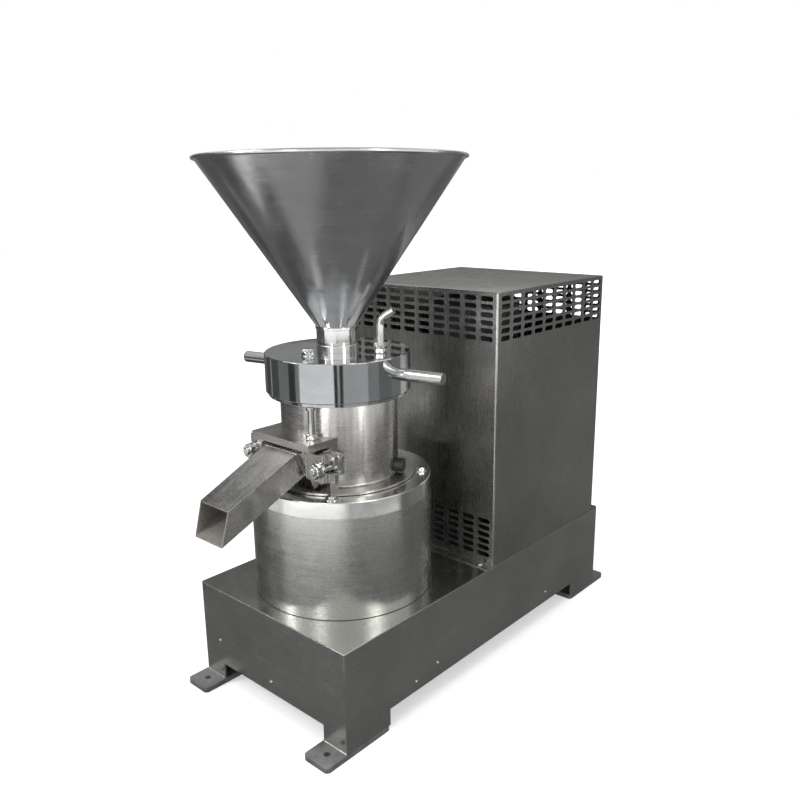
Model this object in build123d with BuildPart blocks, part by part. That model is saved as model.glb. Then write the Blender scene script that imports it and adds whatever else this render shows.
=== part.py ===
from build123d import *
from math import atan2, cos, degrees, hypot, radians, sin, sqrt, tan
import os

os.makedirs("parts", exist_ok=True)

# Peanut butter machine: a vertical split colloid mill, in millimetres.
# The origin is on the floor, in the middle of the four floor bolts.
# +Z is up, the spout points along -Y and the motor stands at +Y.

# Clearances
fit_gap = 0.05          # radial, between a round piece and the bore that holds it
running_gap = 0.08      # radial, between the adjusting ring and the neck it turns on
seat_gap = 0.3          # between faces of pieces that move past each other

# Base: a low sheet-metal box on four bolted feet
base_width = 400.0
base_length = 840.0
base_height = 200.0
base_sheet = 3.0
base_bend = 4.0
panel_lift = 42.0       # lower edge of the panels above the floor
leg_front = 58.0        # width of a leg on the front and rear panels
leg_side = 108.0        # width of a leg on the side panels
foot_thickness = 10.0
foot_width = 60.0
foot_reach = 47.0       # how far a foot plate stands out beyond the base
foot_corner = 8.0
foot_hole_radius = 6.0
foot_hole_inset = 29.0  # from the side of the base to the hole
foot_hole_reach = 20.0  # from the end of the base to the hole
rail_width = 40.0
rail_wall = 4.0
post_width = 50.0
post_wall = 5.0
crossbar_width = 50.0
crossbar_height = 12.0
crossbar_spread = 118.0
gland_x = -110.0
gland_z = 120.0
gland_radius = 10.0
gland_bore = 5.5
gland_flats = 26.0
gland_reach = 30.0

# Drum that carries the mill
mill_setback = 196.0    # from the front of the base to the mill axis
drum_radius = 170.0
drum_height = 221.0
drum_wall = 3.0
drum_flange_height = 30.0
drum_ledge_width = 34.0
drum_ledge_height = 8.0
drum_bolt_circle = 150.0
drum_bolt_angle = 40.0
housing_opening = 76.0
drum_bolt_radius = 5.0
drum_bolt_flats = 17.0
drum_bolt_head = 7.0

# Mill body
foot_flange_radius = 139.0
foot_flange_height = 5.0
body_radius = 108.0
body_height = 162.0     # from the drum to the underside of the adjusting ring
body_fillet = 4.0
chamber_radius = 90.0
chamber_floor = 31.0    # height of the chamber floor above the drum
neck_radius = 106.0
neck_gap = 5.0          # travel left between the neck and the ring's plate
plug_angle = 27.0
plug_lift = 20.0
plug_radius = 13.0
plug_depth = 6.0
plug_reach = 16.0

# Discharge block on the front of the mill body
block_width = 150.0
block_front = 146.0     # from the mill axis to the front edge of the block's top
block_height = 98.0     # top of the block above the drum
block_lip = 13.0
block_body_front = 98.0
seat_half_width = 51.5
passage_half_width = 38.0
passage_height = 38.0
passage_step = 10.0

# Spout
spout_slope = 23.4
spout_root_front = 145.1    # from the mill axis to the top of the spout at its flange
spout_root_height = 77.6    # the same point above the drum
spout_height = 48.0
spout_root_width = 84.4
spout_taper = 0.0506        # width lost for each millimetre of length
spout_top_length = 156.0
spout_bottom_length = 194.6
spout_wall = 2.0
spout_flange_thickness = 14.0
spout_flange_half_width = 52.0
spout_flange_drop = 77.0
spout_flange_rise = 1.0
gasket_thickness = 1.5

# Swing bolts that hold the spout
clamp_x = 88.5
clamp_lift = 56.0       # height of the swing bolts above the drum
pivot_front = 94.0      # from the mill axis to the clevis pins
pin_radius = 5.0
eye_radius = 13.0
eye_height = 16.0
lug_thickness = 8.0
shank_radius = 7.0
slot_gap = 0.7
ear_front = 132.0       # from the mill axis to the front of the ears
ear_thickness = 10.0
ear_height = 49.0
ear_overhang = 6.0
wing_half_width = 112.0
wing_thickness = 8.0
washer_radius = 14.0
washer_thickness = 5.0
nut_flats = 24.0
nut_height = 12.0
nut_lift = 0.6          # slack left under the washer
stud_end = 4.0

# Locking screw under the adjusting ring
lock_x = 50.0
lock_front = 114.0
lock_radius = 6.0
lock_depth = 30.0
lock_head_radius = 9.0
lock_head_height = 5.0
lock_nut_flats = 19.0
lock_nut_height = 8.0
lock_travel = 8.0

# Adjusting ring
ring_radius = 133.0
ring_height = 70.6
ring_chamfer = 1.5
ring_plate = 20.6
lip_radius = 128.0
lip_height = 6.0
feed_radius = 34.0
collar_radius = 38.5
collar_height = 12.4
handle_radius = 11.0
handle_angle = 11.0
handle_height = 38.0    # above the underside of the ring
handle_reach = 219.0
handle_depth = 22.0
ring_bolt_circle = 72.0
ring_bolt_radius = 5.0
ring_bolt_flats = 17.0
ring_bolt_head = 7.0
ring_bolt_depth = 10.0
ring_bolt_angles = (-90.0, 145.0)
nozzle_circle = 88.0
nozzle_angle = 17.0
nozzle_radius = 7.0
nozzle_bore = 5.0
nozzle_rise = 50.0
nozzle_bend = 22.0
nozzle_turn = 58.0
nozzle_end = 16.0
nozzle_heading = 30.0
nozzle_nut_flats = 21.0
nozzle_nut_height = 9.7

# Hopper
hopper_height = 327.0   # above the collar
hopper_radius = 237.0
hopper_wall = 2.0
hopper_rim = 3.5
hopper_neck_radius = 37.3
hopper_neck_bore = 31.5
hopper_neck_height = 32.0
hopper_bead = 1.6
hopper_bead_height = 4.0
hopper_spigot = 10.0

# Grinding set
spindle_radius = 20.0
rotor_seat_radius = 15.0
rotor_stud_radius = 10.0
rotor_bottom = 151.0    # above the drum
rotor_height = 48.0
rotor_bottom_radius = 78.0
rotor_top_radius = 56.0
grinding_gap = 0.5
stator_radius = 86.0
coarse_grooves = 12
coarse_width = 8.0
coarse_depth = 5.0
fine_grooves = 36
fine_width = 3.5
fine_depth = 2.5
groove_skew = 18.0
feed_cone_radius = 26.0
feed_cone_tip = 8.0
feed_cone_height = 33.0
scraper_hub_radius = 32.0
scraper_blades = 3
scraper_thickness = 6.0
scraper_clearance = 4.0
scraper_blade_height = 80.0
seal_radius = 34.0
seal_height = 24.0

# Spindle bearings and housing
bearing_radius = 40.0
bearing_width = 18.0
housing_radius = 62.0
housing_flange_radius = 90.0
housing_flange_height = 14.0
housing_length = 185.0
housing_spigot_radius = 55.0
housing_spigot_height = 10.0
housing_lip_radius = 34.0
housing_lip_height = 4.0

# Belt drive inside the base
pulley_bottom = 92.0
groove_pitch = 15.0
groove_count = 3
pulley_rim = 2.5
mill_pulley_radius = 60.0
motor_pulley_radius = 80.0
belt_top_width = 13.0
belt_bottom_width = 8.0
belt_height = 8.0
belt_sink = 1.0         # the belt's back stands below the pulley's rim
belt_gap = 0.4
pulley_seat_radius = 19.0
pulley_web = 12.0
pulley_hub_radius = 34.0
spindle_nut_height = 10.0
spindle_nut_flats = 36.0
spindle_end_radius = 12.0

# Motor
motor_setback = 222.0   # from the rear of the base to the motor axis
motor_plate_width = 300.0
motor_plate_length = 330.0
motor_plate_thickness = 12.0
motor_opening = 72.0
motor_slot_spread = 260.0
motor_slot_length = 40.0
motor_flange_radius = 125.0
motor_flange_thickness = 14.0
motor_flange_circle = 107.0
motor_bolt_radius = 6.0
motor_bolt_flats = 19.0
motor_bolt_head = 8.0
motor_radius = 95.0
motor_wall = 10.0
motor_length = 400.0
motor_fins = 24
fin_thickness = 3.0
fin_height = 14.0
motor_shaft_radius = 19.0
core_radius = 60.0
core_gap = 1.0
core_length = 280.0
core_lift = 60.0
shield_thickness = 14.0
fan_radius = 80.0
fan_hub_radius = 28.0
fan_blades = 8
fan_blade_thickness = 3.0
fan_height = 24.0
cowl_height = 66.0
cowl_sheet = 2.0
cowl_bevel = 8.0
cowl_slots = 12
terminal_width = 110.0
terminal_height = 100.0
terminal_depth = 46.0
terminal_lift = 180.0

# Motor cover
cover_inset = 2.0       # from the side of the base to the side of the cover
cover_depth = 400.0
cover_height = 550.0
cover_margin = 22.0     # from the rear of the base to the rear of the cover
cover_sheet = 2.0
cover_bend = 3.0
cover_flange = 22.0
vent_columns = 10
vent_rows = 6
vent_length = 30.0
vent_height = 9.6
vent_pitch_x = 38.5
vent_pitch_z = 15.1
vent_drop = 13.3        # from the top of the cover to the middle of the first row
lower_vent_pitch_z = 14.3
lower_vent_lift = 22.0
cover_screw_radius = 3.0
cover_screw_head_radius = 6.0
cover_screw_head = 3.5
cover_screw_spread = 348.0

# Places that follow from the sizes
mill_y = -base_length / 2 + mill_setback
motor_y = base_length / 2 - motor_setback
inner_width = base_width - 2 * base_sheet
inner_length = base_length - 2 * base_sheet
top_under = base_height - base_sheet
drum_top = base_height + drum_height
flange_under = drum_top - drum_flange_height
floor_z = drum_top + chamber_floor
ring_under = drum_top + body_height
ring_top = ring_under + ring_height
plate_under = ring_top - ring_plate
lip_under = ring_under - lip_height
neck_top = plate_under - neck_gap
collar_top = ring_top + collar_height
block_top = drum_top + block_height
clamp_z = drum_top + clamp_lift
clamp_ear_low = clamp_z - ear_height / 2
pivot_y = mill_y - pivot_front
lock_y = mill_y - lock_front
handle_z = ring_under + handle_height
motor_plate_top = base_height + motor_plate_thickness
motor_frame_low = motor_plate_top + motor_flange_thickness
motor_frame_top = motor_frame_low + motor_length
cowl_low = motor_frame_top + shield_thickness
cover_width = base_width - 2 * cover_inset
cover_rear = base_length / 2 - cover_margin
cover_front = cover_rear - cover_depth
cover_y = (cover_rear + cover_front) / 2
cover_top = base_height + cover_height
pulley_width = groove_count * groove_pitch + 2 * pulley_rim
pulley_top = pulley_bottom + pulley_width
rotor_low = drum_top + rotor_bottom
rotor_top = rotor_low + rotor_height
rotor_lean = (rotor_bottom_radius - rotor_top_radius) / rotor_height
collar_bore = feed_radius + fit_gap

mill_axis = Axis((0, mill_y, 0), (0, 0, 1))
motor_axis = Axis((0, motor_y, 0), (0, 0, 1))
mill_section = Plane(origin=(0, mill_y, 0), x_dir=(1, 0, 0), z_dir=(0, -1, 0))
motor_section = Plane(origin=(0, motor_y, 0), x_dir=(1, 0, 0), z_dir=(0, -1, 0))

# The spout's own directions: along its slope, and square to it
slope = radians(spout_slope)
spout_root = Vector(0, mill_y - spout_root_front, drum_top + spout_root_height)
spout_along = Vector(0, -cos(slope), -sin(slope))
spout_up = Vector(0, -sin(slope), cos(slope))
spout_side = Plane(origin=spout_root, x_dir=spout_along, z_dir=(-1, 0, 0))
spout_plan = Plane(origin=spout_root, x_dir=spout_along, z_dir=spout_up)


def mill_level(z):
    """Horizontal plane through the mill axis at height z."""
    return Plane(origin=(0, mill_y, z))


def motor_level(z):
    """Horizontal plane through the motor axis at height z."""
    return Plane(origin=(0, motor_y, z))


def hex_bolt(shank_radius, shank_length, flats, head_height):
    """A hexagon bolt that points down, with the underside of its head at the origin."""
    with BuildPart() as bolt:
        with BuildSketch():
            RegularPolygon(flats / 2, 6, major_radius=False)
        extrude(amount=head_height)
        chamfer(bolt.edges().group_by(Axis.Z)[-1], length=head_height * 0.12)
        with BuildSketch():
            Circle(shank_radius)
        extrude(amount=-shank_length)
    return bolt.part


def hex_nut(bore, flats, height):
    """A hexagon nut that stands on the origin, with its bore along Z."""
    with BuildPart() as nut:
        with BuildSketch():
            RegularPolygon(flats / 2, 6, major_radius=False)
            Circle(bore, mode=Mode.SUBTRACT)
        extrude(amount=height)
    return nut.part


def ball_bearing(bore, outer, width):
    """A closed bearing that stands on the origin: two rings and a recessed shield on each side."""
    race = (outer - bore) * 0.24
    recess = width * 0.08
    with BuildPart() as bearing:
        with BuildSketch():
            Circle(outer)
            Circle(bore, mode=Mode.SUBTRACT)
        extrude(amount=width)
        with BuildSketch(Plane.XY, Plane.XY.offset(width - recess)):
            Circle(outer - race)
            Circle(bore + race, mode=Mode.SUBTRACT)
        extrude(amount=recess, mode=Mode.SUBTRACT)
    return bearing.part


def spout_form(inset, start):
    """The tapered box of the spout, with its walls moved in by inset, from start along the slope."""
    overrun = 0 if inset == 0 else spout_wall
    end = spout_bottom_length + overrun
    half_start = (spout_root_width - spout_taper * start) / 2 - inset
    half_end = (spout_root_width - spout_taper * end) / 2 - inset
    with BuildPart() as form:
        with BuildSketch(spout_side):
            with BuildLine():
                Polyline(
                    (start, -inset),
                    (spout_top_length + overrun, -inset),
                    (spout_bottom_length + overrun, inset - spout_height),
                    (start, inset - spout_height),
                    close=True,
                )
            make_face()
        extrude(amount=spout_root_width, both=True)
        with BuildSketch(spout_plan):
            with BuildLine():
                Polyline(
                    (start, half_start),
                    (end, half_end),
                    (end, -half_end),
                    (start, -half_start),
                    close=True,
                )
            make_face()
        extrude(amount=2 * spout_height, both=True, mode=Mode.INTERSECT)
    return form.part


def cone_planes(count, radius, z, inward, turn=0.0):
    """Planes on the grinding cone at height z, one for each groove, set back by inward."""
    lean = atan2(rotor_bottom_radius - rotor_top_radius, rotor_height)
    planes = []
    for step in range(count):
        angle = radians(turn + step * 360 / count)
        outward = Vector(cos(angle), sin(angle), 0)
        normal = outward * cos(lean) + Vector(0, 0, sin(lean))
        down = outward * sin(lean) - Vector(0, 0, cos(lean))
        across = normal.cross(down)
        skew = radians(groove_skew)
        origin = Vector(0, mill_y, z) + outward * radius - normal * inward
        planes.append(Plane(origin=origin, x_dir=down * cos(skew) + across * sin(skew), z_dir=normal))
    return planes


def rotor_radius_at(z):
    """Radius of the rotor's cone at height z."""
    return rotor_bottom_radius - (z - rotor_low) * rotor_lean


def pulley_profile(rim_radius, hub_bore):
    """Half section of a V-belt pulley, as points of radius and height above its lower face."""
    depth = belt_height + belt_sink + 2 * belt_gap
    top_half = belt_top_width / 2 + belt_gap + belt_sink * (belt_top_width - belt_bottom_width) / 2 / belt_height
    low_half = belt_bottom_width / 2 + belt_gap / 2
    points = [(hub_bore, 0), (rim_radius, 0)]
    for groove in range(groove_count):
        middle = pulley_rim + groove_pitch * (groove + 0.5)
        points.append((rim_radius, middle - top_half))
        points.append((rim_radius - depth, middle - low_half))
        points.append((rim_radius - depth, middle + low_half))
        points.append((rim_radius, middle + top_half))
    points.append((rim_radius, pulley_width))
    points.append((hub_bore, pulley_width))
    return points


# Base shell: folded panels, with gaps between the legs and openings in the top
with BuildPart() as base_shell:
    with BuildSketch(Plane.XY.offset(foot_thickness)):
        RectangleRounded(base_width, base_length, base_bend)
    extrude(amount=base_height - foot_thickness)
    fillet(base_shell.edges().group_by(Axis.Z)[-1], radius=base_sheet / 2)
    with BuildSketch(Plane.XY.offset(foot_thickness)):
        RectangleRounded(inner_width, inner_length, base_bend - base_sheet)
    extrude(amount=top_under - foot_thickness, mode=Mode.SUBTRACT)
    with BuildSketch(Plane.XY.offset(foot_thickness)):
        Rectangle(base_width - 2 * leg_front, 2 * base_length)
        Rectangle(2 * base_width, base_length - 2 * leg_side)
    extrude(amount=panel_lift - foot_thickness, mode=Mode.SUBTRACT)
    with BuildSketch(Plane.XY.offset(base_height)):
        with Locations((0, mill_y)):
            Circle(housing_opening)
        with Locations((0, motor_y)):
            Circle(motor_opening)
        with Locations((0, motor_y)):
            with GridLocations(motor_slot_spread, motor_slot_spread, 2, 2):
                Circle(motor_bolt_radius + fit_gap)
    extrude(amount=-base_sheet, mode=Mode.SUBTRACT)
    with BuildSketch(Plane.XZ.offset(-base_length / 2)):
        with Locations((gland_x, gland_z)):
            Circle(gland_radius + fit_gap)
    extrude(amount=base_sheet, mode=Mode.SUBTRACT)
base_shell.part.label = "base_shell"
export_step(base_shell.part, "parts/base_shell.step")

# Base frame: angle rails under the top, cross bars and corner posts, welded as one
with BuildPart() as base_frame:
    with BuildSketch(Plane.XY.offset(top_under - rail_width)):
        RectangleRounded(inner_width, inner_length, base_bend - base_sheet)
        Rectangle(inner_width - 2 * rail_wall, inner_length - 2 * rail_wall, mode=Mode.SUBTRACT)
    extrude(amount=rail_width)
    with BuildSketch(Plane.XY.offset(top_under - rail_wall)):
        RectangleRounded(inner_width, inner_length, base_bend - base_sheet)
        Rectangle(inner_width - 2 * rail_width, inner_length - 2 * rail_width, mode=Mode.SUBTRACT)
    extrude(amount=rail_wall)
    with BuildSketch(Plane.XY.offset(top_under - crossbar_height)):
        for middle in (mill_y, motor_y):
            with Locations((0, middle - crossbar_spread), (0, middle + crossbar_spread)):
                Rectangle(inner_width - 2 * rail_wall, crossbar_width)
    extrude(amount=crossbar_height)
    with BuildSketch(Plane.XY.offset(foot_thickness)):
        RectangleRounded(inner_width, inner_length, base_bend - base_sheet)
        Rectangle(inner_width - 2 * post_wall, inner_length - 2 * post_wall, mode=Mode.SUBTRACT)
        Rectangle(inner_width - 2 * post_width, 2 * inner_length, mode=Mode.SUBTRACT)
        Rectangle(2 * inner_width, inner_length - 2 * post_width, mode=Mode.SUBTRACT)
    extrude(amount=top_under - foot_thickness)
    with BuildSketch(Plane.XY.offset(top_under)):
        with Locations((0, motor_y)):
            with GridLocations(motor_slot_spread, motor_slot_spread, 2, 2):
                Circle(motor_bolt_radius + fit_gap)
    extrude(amount=-rail_width, mode=Mode.SUBTRACT)
base_frame.part.label = "base_frame"
export_step(base_frame.part, "parts/base_frame.step")

# Foot plates: four floor plates under the legs, each with one bolt hole
with BuildPart() as foot_plates:
    foot_length = foot_reach + leg_side
    with BuildSketch():
        with GridLocations(base_width - foot_width, base_length + 2 * foot_reach - foot_length, 2, 2):
            RectangleRounded(foot_width, foot_length, foot_corner)
        with GridLocations(base_width - 2 * foot_hole_inset, base_length + 2 * foot_hole_reach, 2, 2):
            Circle(foot_hole_radius, mode=Mode.SUBTRACT)
    extrude(amount=foot_thickness)
foot_plates.part.label = "foot_plates"
export_step(foot_plates.part, "parts/foot_plates.step")

# Cable gland in the rear panel of the base
with BuildPart() as cable_gland:
    with BuildSketch(Plane.XZ.offset(-inner_length / 2 + base_sheet * 2)):
        with Locations((gland_x, gland_z)):
            Circle(gland_radius)
    extrude(amount=-(base_sheet * 3 + gland_reach * 0.2))
    with BuildSketch(Plane.XZ.offset(-base_length / 2)):
        with Locations((gland_x, gland_z)):
            RegularPolygon(gland_flats / 2, 6, major_radius=False)
    extrude(amount=-gland_reach * 0.4)
    with BuildSketch(Plane.XZ.offset(-base_length / 2 - gland_reach * 0.4)):
        with Locations((gland_x, gland_z)):
            Circle(gland_flats * 0.42)
    extrude(amount=-gland_reach * 0.6, taper=8)
    with BuildSketch(Plane.XZ.offset(-base_length / 2 - gland_reach)):
        with Locations((gland_x, gland_z)):
            Circle(gland_bore)
    extrude(amount=gland_reach * 2, mode=Mode.SUBTRACT)
cable_gland.part.label = "cable_gland"
export_step(cable_gland.part, "parts/cable_gland.step")

# Drum shell: a rolled tube on the base, with a bolting ledge inside its top
with BuildPart() as drum_shell:
    with BuildSketch(mill_level(base_height)):
        Circle(drum_radius)
        Circle(drum_radius - drum_wall, mode=Mode.SUBTRACT)
    extrude(amount=flange_under - base_height)
    with BuildSketch(mill_level(flange_under)):
        Circle(drum_radius)
        Circle(drum_radius - drum_ledge_width, mode=Mode.SUBTRACT)
    extrude(amount=-drum_ledge_height)
    with BuildSketch(mill_level(flange_under)):
        with PolarLocations(drum_bolt_circle, 4, start_angle=drum_bolt_angle):
            Circle(drum_bolt_radius + fit_gap)
    extrude(amount=-drum_ledge_height, mode=Mode.SUBTRACT)
drum_shell.part.label = "drum_shell"
export_step(drum_shell.part, "parts/drum_shell.step")

# Drum flange: the thick polished ring on top of the drum
with BuildPart() as drum_flange:
    with BuildSketch(mill_level(flange_under)):
        Circle(drum_radius)
        Circle(housing_spigot_radius + fit_gap, mode=Mode.SUBTRACT)
    extrude(amount=drum_flange_height)
    outer_edges = drum_flange.edges().filter_by(GeomType.CIRCLE).group_by(SortBy.RADIUS)[-1]
    chamfer(outer_edges.sort_by(Axis.Z)[-1], length=ring_chamfer)
    with BuildSketch(mill_level(drum_top)):
        with PolarLocations(drum_bolt_circle, 4, start_angle=drum_bolt_angle):
            Circle(drum_bolt_radius + fit_gap)
    extrude(amount=-drum_flange_height, mode=Mode.SUBTRACT)
drum_flange.part.label = "drum_flange"
export_step(drum_flange.part, "parts/drum_flange.step")

# Drum bolts
drum_bolt = hex_bolt(drum_bolt_radius, drum_flange_height + drum_ledge_height, drum_bolt_flats, drum_bolt_head)
with BuildPart() as drum_bolts:
    with Locations(mill_level(drum_top)):
        with PolarLocations(drum_bolt_circle, 4, start_angle=drum_bolt_angle):
            add(drum_bolt)
drum_bolts.part.label = "drum_bolts"
export_step(drum_bolts.part, "parts/drum_bolts.step")

# Mill body: turned casing with the discharge block, its seat and the clamp wings
seat_offset = spout_flange_thickness + gasket_thickness
seat_origin = spout_root - spout_along * seat_offset


def seat_y(z):
    """Where the sloping seat of the spout flange is, at height z."""
    return seat_origin.Y - (z - seat_origin.Z) * tan(slope)


block_lip_z = block_top - block_lip
block_low = drum_top + foot_flange_height
with BuildPart() as mill_body:
    with BuildSketch(mill_section):
        with BuildLine():
            Polyline(
                (0, drum_top),
                (foot_flange_radius, drum_top),
                (foot_flange_radius, drum_top + foot_flange_height),
                (body_radius, drum_top + foot_flange_height),
                (body_radius, lip_under - seat_gap),
                (neck_radius - running_gap, lip_under - seat_gap),
                (neck_radius - running_gap, neck_top),
                (0, neck_top),
                close=True,
            )
        make_face()
    revolve(axis=mill_axis)
    foot_edge = mill_body.edges().filter_by(GeomType.CIRCLE)
    foot_edge = foot_edge.filter_by(lambda edge: abs(edge.radius - body_radius) < 0.1).sort_by(Axis.Z)[0]
    fillet(foot_edge, radius=body_fillet)
    # main block and the lip over the spout flange
    with BuildSketch(Plane.XY.offset(block_low)):
        with Locations((0, mill_y)):
            Rectangle(block_width, block_body_front, align=(Align.CENTER, Align.MAX))
    extrude(amount=block_top - block_low)
    with BuildSketch(Plane.XY.offset(block_lip_z)):
        with Locations((0, mill_y)):
            Rectangle(block_width, block_front, align=(Align.CENTER, Align.MAX))
    extrude(amount=block_lip)
    # sloping seat
    with BuildSketch(Plane.YZ):
        with BuildLine():
            Polyline(
                (mill_y, block_low),
                (seat_y(block_low), block_low),
                (seat_y(block_lip_z), block_lip_z),
                (mill_y, block_lip_z),
                close=True,
            )
        make_face()
    extrude(amount=seat_half_width, both=True)
    with BuildSketch(Plane.YZ):
        with BuildLine():
            Polyline(
                (seat_y(block_low), block_low),
                (mill_y - block_front, block_low),
                (mill_y - block_front, block_lip_z),
                (seat_y(block_lip_z), block_lip_z),
                close=True,
            )
        make_face()
    extrude(amount=spout_flange_half_width + seat_gap, both=True, mode=Mode.SUBTRACT)
    # wings behind the spout's ears
    with BuildSketch(Plane.XY.offset(clamp_ear_low)):
        with BuildLine():
            wing_front = mill_y - ear_front + ear_thickness + seat_gap
            Polyline(
                (spout_flange_half_width + seat_gap, wing_front),
                (wing_half_width, wing_front),
                (wing_half_width, wing_front + wing_thickness),
                (block_width / 2, wing_front + wing_thickness),
                (block_width / 2, mill_y - block_body_front),
                (spout_flange_half_width + seat_gap, mill_y - block_body_front),
                close=True,
            )
        make_face()
        mirror(about=Plane.YZ)
    extrude(amount=ear_height)
    # slots in the wings, open outwards
    slot_half = shank_radius + slot_gap
    slot_start = clamp_x - slot_half
    with BuildSketch(Plane.XZ.offset(-wing_front)):
        with Locations((slot_start, clamp_z)):
            Rectangle(wing_half_width, 2 * slot_half, align=(Align.MIN, Align.CENTER))
        mirror(about=Plane.YZ)
    extrude(amount=-wing_thickness, mode=Mode.SUBTRACT)
    # clevis lugs at the sides of the block
    lug_low = clamp_z - eye_height / 2 - seat_gap - lug_thickness
    lug_high = clamp_z + eye_height / 2 + seat_gap
    with BuildSketch(Plane.XY.offset(lug_low), Plane.XY.offset(lug_high)):
        with Locations((clamp_x, pivot_y)):
            Circle(eye_radius)
            Rectangle(2 * (clamp_x - block_width / 2), 2 * eye_radius)
            Rectangle(eye_radius * 2, eye_radius * 3, align=(Align.MIN, Align.CENTER), mode=Mode.SUBTRACT)
            Circle(eye_radius)
            Circle(pin_radius + fit_gap, mode=Mode.SUBTRACT)
        mirror(about=Plane.YZ)
    extrude(amount=lug_thickness)
    # chamber, seal bore, passage, and the holes for the plug and the locking screw
    with BuildSketch(mill_level(floor_z)):
        Circle(chamber_radius)
    extrude(amount=neck_top - floor_z, mode=Mode.SUBTRACT)
    with BuildSketch(mill_level(drum_top)):
        Circle(seal_radius + fit_gap)
    extrude(amount=chamber_floor, mode=Mode.SUBTRACT)
    with BuildSketch(Plane.XY.offset(floor_z + passage_step)):
        with Locations((0, mill_y)):
            Rectangle(2 * passage_half_width, 2 * block_front, align=(Align.CENTER, Align.MAX))
    extrude(amount=passage_height, mode=Mode.SUBTRACT)
    plug_plane = Plane(
        origin=(0, mill_y, drum_top + plug_lift),
        x_dir=(0, 0, 1),
        z_dir=(cos(radians(plug_angle)), sin(radians(plug_angle)), 0),
    )
    with BuildSketch(plug_plane.offset(body_radius - plug_depth)):
        Circle(plug_radius + fit_gap)
    extrude(amount=plug_depth + plug_reach, mode=Mode.SUBTRACT)
    with BuildSketch(Plane(origin=(lock_x, lock_y, block_top))):
        Circle(lock_radius + fit_gap)
    extrude(amount=-(lock_depth + lock_travel), mode=Mode.SUBTRACT)
mill_body.part.label = "mill_body"
export_step(mill_body.part, "parts/mill_body.step")

# Drain plug in the foot of the mill body
with BuildPart() as drain_plug:
    with BuildSketch(plug_plane.offset(body_radius - plug_depth)):
        Circle(plug_radius)
    extrude(amount=plug_depth + plug_reach)
    plug_end = drain_plug.faces().sort_by(Axis((0, 0, 0), plug_plane.z_dir))[-1]
    chamfer(plug_end.edges(), length=2)
drain_plug.part.label = "drain_plug"
export_step(drain_plug.part, "parts/drain_plug.step")

# Spout: open rectangular tube welded to a flange with two clamp ears
spout_outer = spout_form(0, 0)
spout_inner = spout_form(spout_wall, -2 * spout_flange_thickness)
with BuildPart() as spout:
    add(spout_outer)
    with BuildSketch(spout_side):
        with Locations((0, spout_flange_rise)):
            Rectangle(
                spout_flange_thickness,
                spout_flange_drop + spout_flange_rise,
                align=(Align.MAX, Align.MAX),
            )
    extrude(amount=spout_flange_half_width, both=True)
    with BuildSketch(Plane.XY.offset(clamp_ear_low)):
        with BuildLine():
            ear_low_y = mill_y - ear_front
            Polyline(
                (spout_flange_half_width, ear_low_y),
                (clamp_x + ear_overhang, ear_low_y),
                (clamp_x + ear_overhang, ear_low_y + ear_thickness),
                (spout_flange_half_width, ear_low_y + ear_thickness),
                close=True,
            )
        make_face()
        mirror(about=Plane.YZ)
    extrude(amount=ear_height)
    with BuildSketch(Plane.XZ.offset(-ear_low_y)):
        with Locations((slot_start, clamp_z)):
            Rectangle(wing_half_width, 2 * slot_half, align=(Align.MIN, Align.CENTER))
        mirror(about=Plane.YZ)
    extrude(amount=-ear_thickness, mode=Mode.SUBTRACT)
    add(spout_inner, mode=Mode.SUBTRACT)
spout.part.label = "spout"
export_step(spout.part, "parts/spout.step")

# Gasket between the spout flange and its seat
with BuildPart() as spout_gasket:
    with BuildSketch(spout_side):
        with Locations((-spout_flange_thickness, spout_flange_rise)):
            Rectangle(
                gasket_thickness,
                spout_flange_drop + spout_flange_rise,
                align=(Align.MAX, Align.MAX),
            )
    extrude(amount=seat_half_width, both=True)
    add(spout_inner, mode=Mode.SUBTRACT)
spout_gasket.part.label = "spout_gasket"
export_step(spout_gasket.part, "parts/spout_gasket.step")

# Swing bolts, their nuts and the clevis pins, one of each on both sides
nut_back = ear_front - pivot_front + nut_lift
stud_length = nut_back + washer_thickness + nut_height + stud_end
washer_start = nut_back
nut_start = washer_start + washer_thickness
swing_nut = hex_nut(shank_radius + fit_gap, nut_flats, nut_height)
for side, hand in (("left", -1), ("right", 1)):
    pivot = (hand * clamp_x, pivot_y, clamp_z)
    bolt_plane = Plane(origin=pivot, x_dir=(1, 0, 0), z_dir=(0, -1, 0))

    with BuildPart() as swing_bolt:
        with BuildSketch(Plane(origin=pivot).offset(-eye_height / 2)):
            Circle(eye_radius)
        extrude(amount=eye_height)
        with BuildSketch(bolt_plane):
            Circle(shank_radius)
        extrude(amount=stud_length)
        stud_face = swing_bolt.faces().sort_by(Axis.Y)[0]
        chamfer(stud_face.edges(), length=1)
        with BuildSketch(Plane(origin=pivot).offset(-eye_height / 2)):
            Circle(pin_radius + fit_gap)
        extrude(amount=eye_height, mode=Mode.SUBTRACT)
    swing_bolt.part.label = f"{side}_swing_bolt"
    export_step(swing_bolt.part, f"parts/{side}_swing_bolt.step")

    with BuildPart() as bolt_nut:
        with BuildSketch(bolt_plane.offset(washer_start)):
            Circle(washer_radius)
            Circle(shank_radius + fit_gap, mode=Mode.SUBTRACT)
        extrude(amount=washer_thickness)
        with Locations(bolt_plane.offset(nut_start)):
            add(swing_nut)
    bolt_nut.part.label = f"{side}_bolt_nut"
    export_step(bolt_nut.part, f"parts/{side}_bolt_nut.step")

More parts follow.
